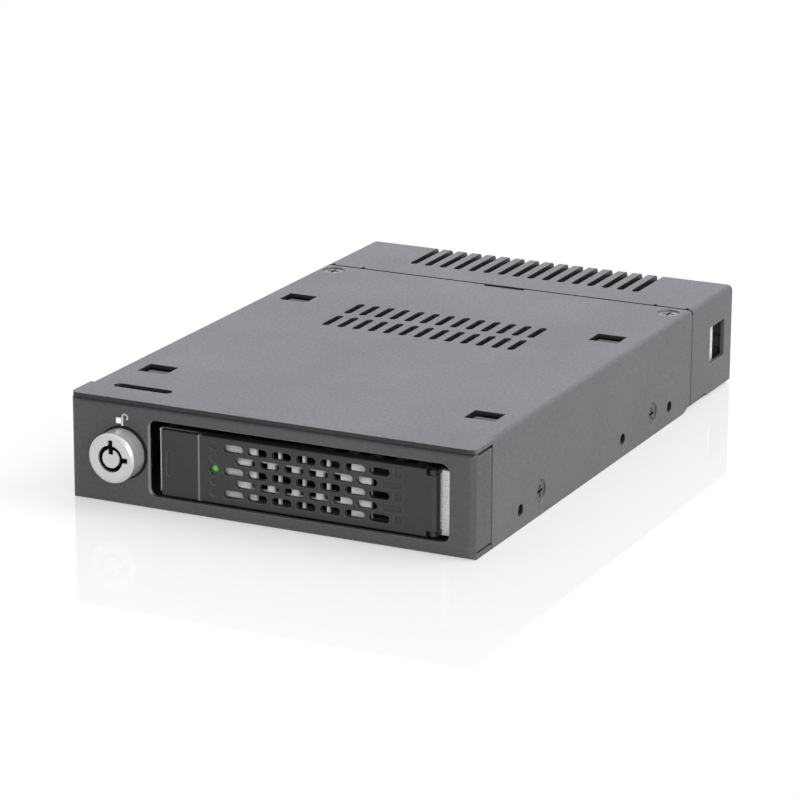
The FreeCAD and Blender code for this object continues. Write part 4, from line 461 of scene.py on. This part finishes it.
board_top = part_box("main_board")[1].z
chip_low, chip_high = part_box("board_chip")
chip_y = (chip_low.y + chip_high.y) / 2
field_rows = 8
field_depth = 0.0205
field_share = 0.6


def soldered_parts(name, finish, slot, middle_x, width, columns, part, seed):
    """A field of like small parts on the board, beside the chip."""
    middle = (middle_x, chip_y, board_top + part[2] / 2)
    piece = grown_piece(name, part_tree, part_inputs, (
        ("Columns", columns), ("Rows", field_rows), ("Width", width), ("Depth", field_depth),
        ("Middle", middle), ("Part", part), ("Share", field_share), ("Seed", seed), ("Finish", finish),
    ))
    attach(piece, "case")


part_ceramic = plated_finish(
    "part_ceramic", (0.22, 0.15, 0.09), (0.34, 0.24, 0.15), rough=0.5, scale=900.0, metallic=0.0
)
part_ends = (0.0017, 0.0008, 0.00055)
part_body = (0.0011, 0.00086, 0.0006)
left_field = (chip_low.x - 0.0155, 0.0225, 9)
right_field = (chip_high.x + 0.0110, 0.0135, 6)
left_seed = 5
right_seed = 8
soldered_parts("capacitor_ends", cage_plating, "connector_metal", *left_field, part_ends, left_seed)
soldered_parts("capacitor_bodies", part_ceramic, "led_package", *left_field, part_body, left_seed)
soldered_parts("resistor_ends", cage_plating, "connector_metal", *right_field, part_ends, right_seed)
soldered_parts(
    "resistor_bodies", connector_plastic, "connector_plastic", *right_field, part_body, right_seed
)

# Earth spring: a tinned strip welded to the data cage and bent out to the cap's wall.
# It joins the cage to the case, and shows through the front of the cap's side window.


def meshed_piece(name, mesh, material):
    """A new piece with the finished mesh and its material."""
    piece = bpy.data.objects.new(name, bpy.data.meshes.new(name))
    mesh.to_mesh(piece.data)
    mesh.free()
    bpy.context.scene.collection.objects.link(piece)
    piece.data.materials.append(material)
    return piece


cap_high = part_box("rear_cap")[1]
window_y = cap_high.y - 0.0161
spring_sheet = 0.00025
spring_out = cap_high.x - 0.0014 - spring_sheet
spring_low = data_low.z + 0.0030
foot_high = data_high.z - 0.0004
tip_high = data_high.z + 0.0036
spring_mesh = bmesh.new()
spring_rows = []
for x, y, high in (
    (data_high.x, window_y - 0.0070, foot_high),
    (data_high.x, window_y - 0.0050, foot_high),
    (spring_out, window_y - 0.0010, tip_high),
    (spring_out, window_y + 0.0053, tip_high),
):
    outer_x = x + spring_sheet
    spring_rows.append([
        spring_mesh.verts.new(corner)
        for corner in ((x, y, spring_low), (outer_x, y, spring_low), (outer_x, y, high), (x, y, high))
    ])
for start, end in zip(spring_rows, spring_rows[1:]):
    for corner in range(4):
        after = (corner + 1) % 4
        spring_mesh.faces.new((start[corner], start[after], end[after], end[corner]))
spring_mesh.faces.new(spring_rows[0])
spring_mesh.faces.new(spring_rows[-1])
bmesh.ops.recalc_face_normals(spring_mesh, faces=spring_mesh.faces)
cage_spring = meshed_piece("cage_spring", spring_mesh, cage_plating)
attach(cage_spring, "case")

# Status light on the board: a milky moulded package that lights the tray's light pipe.
# The pipe is clear acrylic, bent round the tray's front corner to the hole in the front plate.
led_package = grained_finish(
    "led_package", (0.55, 0.58, 0.55), (0.72, 0.75, 0.72),
    fineness=1200.0, fleck=0.2, depth=0.00001, rough=0.2,
)
dress(led_package, "status_led")
clear_acrylic, tree, shader = new_finish("clear_acrylic")
haze = spread(tree, noise(tree, 600.0, 2.0), 0.3, 0.7)
tree.links.new(tint(tree, haze, (0.84, 0.9, 0.86), (0.93, 0.96, 0.94)), shader.inputs["Base Color"])
tree.links.new(spread(tree, haze, 0.0, 1.0, 0.06, 0.14), shader.inputs["Roughness"])
shader.inputs["Transmission Weight"].default_value = 0.9
shader.inputs["IOR"].default_value = 1.49
dress(clear_acrylic, "light_pipe")

# Key lock: turned brass barrel with its head nickelled, the key well painted dark as painted shade and
# grease, and the thread behind the bezel dark; a rubber washer under the head, an oxide-black nut behind
# the bezel, and a cam on the plug's tail.
lock_low, lock_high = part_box("lock_shell")
lock_axis = (lock_low + lock_high) / 2
face_end = lock_low.y + 0.00025
well_start = lock_low.y + 0.0006
well_radius = 0.0048
bezel_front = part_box("base_chassis")[0].y
nickel, tree, shader = new_finish("satin_nickel", 0.55)
place = tree.nodes.new("ShaderNodeTexCoord")
centre = tree.nodes.new("ShaderNodeVectorMath")
centre.operation = "SUBTRACT"
tree.links.new(place.outputs["Object"], centre.inputs[0])
centre.inputs[1].default_value = (lock_axis.x, 0.0, lock_axis.z)
parts = tree.nodes.new("ShaderNodeSeparateXYZ")
tree.links.new(centre.outputs[0], parts.inputs[0])
across = blend_values(tree, "MULTIPLY", parts.outputs["X"], parts.outputs["X"])
upward = blend_values(tree, "MULTIPLY", parts.outputs["Z"], parts.outputs["Z"])
radius = blend_values(tree, "SQRT", blend_values(tree, "ADD", across, upward), 0.0)
turning = tree.nodes.new("ShaderNodeTexNoise")
turning.noise_dimensions = "1D"
tree.links.new(blend_values(tree, "ADD", radius, parts.outputs["Y"]), turning.inputs["W"])
turning.inputs["Scale"].default_value = 9000.0
turning.inputs["Detail"].default_value = 2.0
rings = turning.outputs["Fac"]
# The key well is painted dark: painted shade, with some grease.
shaded_well = blend_values(tree, "GREATER_THAN", parts.outputs["Y"], well_start)
shaded_well = blend_values(tree, "MULTIPLY", shaded_well, blend_values(tree, "LESS_THAN", radius, well_radius))
behind = blend_values(tree, "GREATER_THAN", parts.outputs["Y"], bezel_front + 0.0005)
well_shade_and_dark_thread = blend_values(tree, "MAXIMUM", shaded_well, behind)
# The face gets a darker nickel than the side: painted shade.
side_polish = tint(tree, rings, (0.53, 0.525, 0.515), (0.65, 0.645, 0.63))
shaded_face_polish = tint(tree, rings, (0.49, 0.485, 0.475), (0.61, 0.605, 0.59))
on_face = blend_values(tree, "LESS_THAN", parts.outputs["Y"], face_end)
polish = tint(tree, on_face, side_polish, shaded_face_polish)
tree.links.new(tint(tree, well_shade_and_dark_thread, polish, (0.022, 0.021, 0.02)), shader.inputs["Base Color"])
tree.links.new(spread(tree, rings, 0.2, 0.8, 0.24, 0.34), shader.inputs["Roughness"])
relief(tree, shader, rings, 0.00001, 0.5, 0.0002)
dress(nickel, "lock_shell", "lock_plug")
washer_rubber = grained_finish(
    "washer_rubber", (0.004, 0.004, 0.004), (0.01, 0.01, 0.01),
    fineness=1600.0, fleck=0.3, depth=0.00003, rough=0.8, gloss=0.15,
)
dress(washer_rubber, "lock_washer")
black_oxide = plated_finish(
    "black_oxide", (0.020, 0.020, 0.021), (0.045, 0.045, 0.047), rough=0.45, scale=420.0
)
dress(black_oxide, "lock_nut", "lock_cam", "cam_screw")

# Lock mark: a small open padlock, pad-printed in white on the bezel above the lock.
# The ink lies on the paint, so it has the paint's pimples under it.
mark_y = bezel_front - 0.00003
mark_line = 0.00042
line_overlap = 0.3
mark_mesh = bmesh.new()


def print_outline(points):
    """A flat printed shape that faces the front, through points across and up in metres."""
    face = mark_mesh.faces.new([mark_mesh.verts.new((x, mark_y, z)) for x, z in points])
    face.normal_update()
    if face.normal.y > 0:
        face.normal_flip()


def round_point(x, z, radius, degrees):
    """The point of a circle on the bezel at the given angle."""
    angle = math.radians(degrees)
    return x + radius * math.cos(angle), z + radius * math.sin(angle)


body_left, body_right, body_low, body_high = -0.03884, -0.03721, 0.01952, 0.02087
body_corner = 0.0002
corner_left, corner_right = body_left + body_corner, body_right - body_corner
corner_low, corner_high = body_low + body_corner, body_high - body_corner
print_outline([
    round_point(x, z, body_corner, degrees)
    for x, z, first in (
        (corner_right, corner_high, 0), (corner_left, corner_high, 90),
        (corner_left, corner_low, 180), (corner_right, corner_low, 270),
    )
    for degrees in range(first, first + 91, 15)
])
bow_radius = 0.00066
bow_x, bow_z, bow_foot = body_right + bow_radius, 0.0211, 0.0191
bow = [(body_right, bow_foot)]
bow += [round_point(bow_x, bow_z, bow_radius, degrees) for degrees in range(180, -41, -20)]
for first, second in zip(bow, bow[1:]):
    run = Vector((second[0] - first[0], second[1] - first[1])).normalized() * (mark_line / 2)
    side = Vector((-run.y, run.x))
    start = Vector(first) - run * line_overlap
    end = Vector(second) + run * line_overlap
    print_outline([start + side, start - side, end - side, end + side])
white_ink = grained_finish(
    "white_ink", (0.86, 0.86, 0.86), (0.95, 0.95, 0.95),
    fineness=2300.0, fleck=0.6, depth=0.00004, rough=0.5,
)
lock_mark = meshed_piece("lock_mark", mark_mesh, white_ink)
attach(lock_mark, "case")

# Tray: a folded pan in dark enamel, which the drive is screwed to, and a bright bare front plate.
# The plate is zinc-coated rolled sheet, so fine lines run across it.
tray_enamel = grained_finish(
    "tray_enamel", (0.012, 0.012, 0.0125), (0.024, 0.024, 0.025),
    fineness=2000.0, fleck=0.4, depth=0.00004, rough=0.5, edge=0.0002,
)
dress(tray_enamel, "tray_pan")
bright_zinc, tree, shader = new_finish("bright_zinc", 0.1)
place = tree.nodes.new("ShaderNodeTexCoord")
stretch = tree.nodes.new("ShaderNodeMapping")
stretch.inputs["Scale"].default_value = (60.0, 3500.0, 3500.0)
tree.links.new(place.outputs["Object"], stretch.inputs["Vector"])
rolling = tree.nodes.new("ShaderNodeTexNoise")
rolling.inputs["Scale"].default_value = 1.0
rolling.inputs["Detail"].default_value = 3.0
tree.links.new(stretch.outputs["Vector"], rolling.inputs["Vector"])
speckle = spread(tree, noise(tree, 2600.0, 2.0), 0.3, 0.5)
lines = blend_values(tree, "MULTIPLY", spread(tree, rolling.outputs["Fac"], 0.25, 0.6), speckle)
tree.links.new(tint(tree, lines, (0.68, 0.685, 0.69), (0.90, 0.905, 0.91)), shader.inputs["Base Color"])
tree.links.new(spread(tree, lines, 0.0, 1.0, 0.26, 0.4), shader.inputs["Roughness"])
relief(tree, shader, lines, 0.00001, 0.4, 0.00015)
dress(bright_zinc, "tray_front_plate")

# Hinge: black moulded lugs on the front plate and a drawn steel pin through them.
# The same wire makes the pin that the release button rocks on.
hinge_plastic = grained_finish(
    "hinge_plastic", (0.006, 0.006, 0.0065), (0.014, 0.014, 0.015),
    fineness=1800.0, fleck=0.3, depth=0.00003, rough=0.45, edge=0.0001,
)
dress(hinge_plastic, "hinge_lugs")
drawn_wire = plated_finish("drawn_wire", (0.5, 0.5, 0.51), (0.66, 0.66, 0.67), rough=0.3, scale=1500.0)
dress(drawn_wire, "hinge_pin", "button_pin")

# Button spring: a bowed strip of spring steel between the door's tongue and the button's back.
# Its two feet stay on the tongue, and in the real part the bow flattens as the button is pushed; here it
# rides with the door at its rest shape.
leaf_mesh = bmesh.new()
leaf_mesh.from_mesh(solids["button_spring"].data)
bmesh.ops.remove_doubles(leaf_mesh, verts=leaf_mesh.verts, dist=0.000001)
button_leaf = meshed_piece("button_leaf", leaf_mesh, drawn_wire)
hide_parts("button_spring")
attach(button_leaf, "door")
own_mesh(button_leaf)

# Door and release button: moulded dark grey lever with a slotted grille, hinged on the right,
# and a rocking button on its left end. Both come from one mould with a fine spark texture.
seam_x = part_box("release_button")[1].x + 0.0001


def seam_highlight(tree):
    """Mask of the seam between button and door, painted pale as a painted highlight."""
    seam_edge, seam_core = 0.0005, 0.00025
    spot = facing_and_spot(tree)[1]
    off_seam = blend_values(tree, "ABSOLUTE", blend_values(tree, "SUBTRACT", spot["X"], seam_x), 0.0)
    return spread(tree, off_seam, seam_edge, seam_core)


door_plastic = grained_finish(
    "door_plastic", (0.0155, 0.015, 0.0163), (0.029, 0.0285, 0.0305),
    # paler edge colour: partly wear, partly a painted highlight
    fineness=3000.0, fleck=0.5, depth=0.00004, rough=0.42, edge=0.00035, wear_and_highlight_colour=(0.115, 0.115, 0.119),
    # The seam between button and door is painted pale: a painted highlight.
    marks=((seam_highlight, (0.19, 0.19, 0.195)),), gloss=0.42,
)
dress(door_plastic, "door_panel", "release_button")

# Light lens: clear green moulding pressed into the door in front of the light pipe.
# It glows when the drive has power, most of all near its middle.
lens_low, lens_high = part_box("led_lens")
glow_shift = Vector((0.0003, 0.0, 0.0003))
glow_core, glow_edge = 0.0002, 0.0009
lens_spot = (lens_low + lens_high) / 2 + glow_shift
green_lens, tree, shader = new_finish("green_lens")
place = tree.nodes.new("ShaderNodeTexCoord")
reach = tree.nodes.new("ShaderNodeVectorMath")
reach.operation = "DISTANCE"
tree.links.new(place.outputs["Object"], reach.inputs[0])
reach.inputs[1].default_value = (lens_spot.x, lens_low.y, lens_spot.z)
glow = spread(tree, reach.outputs["Value"], glow_core, glow_edge, 1.0, 0.0)
tree.links.new(tint(tree, glow, (0.001, 0.012, 0.001), (0.02, 0.16, 0.01)), shader.inputs["Base Color"])
tree.links.new(tint(tree, glow, (0.0, 0.025, 0.0), (0.14, 0.48, 0.04)), shader.inputs["Emission Color"])
shader.inputs["Emission Strength"].default_value = 0.7
shader.inputs["Roughness"].default_value = 0.15
dress(green_lens, "led_lens")

# Studio: a white sweep with a slight shine, soft lights behind, on the right and by the camera,
# and the camera where it was fitted to the photograph.


def seen_rays(tree):
    """1 for rays from the camera, off gloss and through clear plastic, and 0 for those that carry light."""
    rays = tree.nodes.new("ShaderNodeLightPath")
    seen = blend_values(tree, "MAXIMUM", rays.outputs["Is Camera Ray"], rays.outputs["Is Glossy Ray"])
    return blend_values(tree, "MAXIMUM", seen, rays.outputs["Is Transmission Ray"])


floor_half = 6.0
floor_z = cad_box[0].z - 0.00005
floor_mesh = bmesh.new()
floor_mesh.faces.new([
    floor_mesh.verts.new((x * floor_half, y * floor_half, floor_z))
    for x, y in ((-1, -1), (1, -1), (1, 1), (-1, 1))
])
floor_finish, tree, shader = new_finish("white_floor")
shader.inputs["Base Color"].default_value = (0.78, 0.78, 0.785, 1.0)
shader.inputs["Roughness"].default_value = 0.03
place = tree.nodes.new("ShaderNodeTexCoord")
apart = tree.nodes.new("ShaderNodeVectorMath")
apart.operation = "ABSOLUTE"
tree.links.new(place.outputs["Object"], apart.inputs[0])
beyond = tree.nodes.new("ShaderNodeVectorMath")
beyond.operation = "SUBTRACT"
tree.links.new(apart.outputs[0], beyond.inputs[0])
beyond.inputs[1].default_value = (cad_box[1].x, cad_box[1].y, 0.0)
outside = tree.nodes.new("ShaderNodeVectorMath")
outside.operation = "MAXIMUM"
tree.links.new(beyond.outputs[0], outside.inputs[0])
reach = tree.nodes.new("ShaderNodeVectorMath")
reach.operation = "LENGTH"
tree.links.new(outside.outputs[0], reach.inputs[0])
white_from = 0.085
near_white = 0.5
far = spread(tree, reach.outputs["Value"], 0.0, white_from, near_white, 1.0)
white = tree.nodes.new("ShaderNodeEmission")
fade = tree.nodes.new("ShaderNodeMixShader")
tree.links.new(blend_values(tree, "MULTIPLY", far, seen_rays(tree)), fade.inputs["Fac"])
tree.links.new(shader.outputs["BSDF"], fade.inputs[1])
tree.links.new(white.outputs["Emission"], fade.inputs[2])
tree.links.new(fade.outputs["Shader"], tree.nodes["Material Output"].inputs["Surface"])
floor = meshed_piece("floor", floor_mesh, floor_finish)

world = bpy.data.worlds.new("studio")
bpy.context.scene.world = world
world.use_nodes = True
tree = world.node_tree
background = tree.nodes["Background"]
background.inputs["Color"].default_value = (1.0, 1.0, 1.0, 1.0)
ambient = 0.5
tree.links.new(spread(tree, seen_rays(tree), 0.0, 1.0, ambient, 1.0), background.inputs["Strength"])


def softbox(name, place, aim, width, height, power, colour=(1.0, 1.0, 1.0)):
    """A rectangular soft light at a place, turned to a point."""
    light = bpy.data.lights.new(name, "AREA")
    light.shape = "RECTANGLE"
    light.size = width
    light.size_y = height
    light.energy = power
    light.color = colour
    lamp = bpy.data.objects.new(name, light)
    lamp.location = place
    lamp.rotation_euler = (Vector(aim) - Vector(place)).to_track_quat("-Z", "Y").to_euler()
    bpy.context.scene.collection.objects.link(lamp)


softbox("top_light", (-0.5, 1.05, 0.52), (0.0, 0.0, 0.0), 2.0, 0.9, 4.7, (0.84, 0.82, 1.0))
softbox("right_light", (0.85, 0.25, 1.0), (0.0, 0.0, 0.01), 0.9, 0.8, 12.5)
softbox("front_light", (0.60, -1.13, 0.43), (0.0, 0.0, 0.01), 1.3, 0.55, 10.8)

camera = bpy.data.objects.new("camera", bpy.data.cameras.new("camera"))
camera.data.sensor_width = 36.0
camera.data.lens = 166.07
forward = Vector((-0.41418134, 0.86380354, -0.286875))
upward = Vector((-0.12858649, 0.25648823, 0.95795579))
sideways = forward.cross(upward)
camera.matrix_world = Matrix.Translation((0.366070, -0.774285, 0.265455)) @ Matrix(
    (sideways, upward, -forward)
).transposed().to_4x4()
bpy.context.scene.collection.objects.link(camera)
bpy.context.scene.camera = camera
bpy.context.scene.view_settings.view_transform = "Standard"
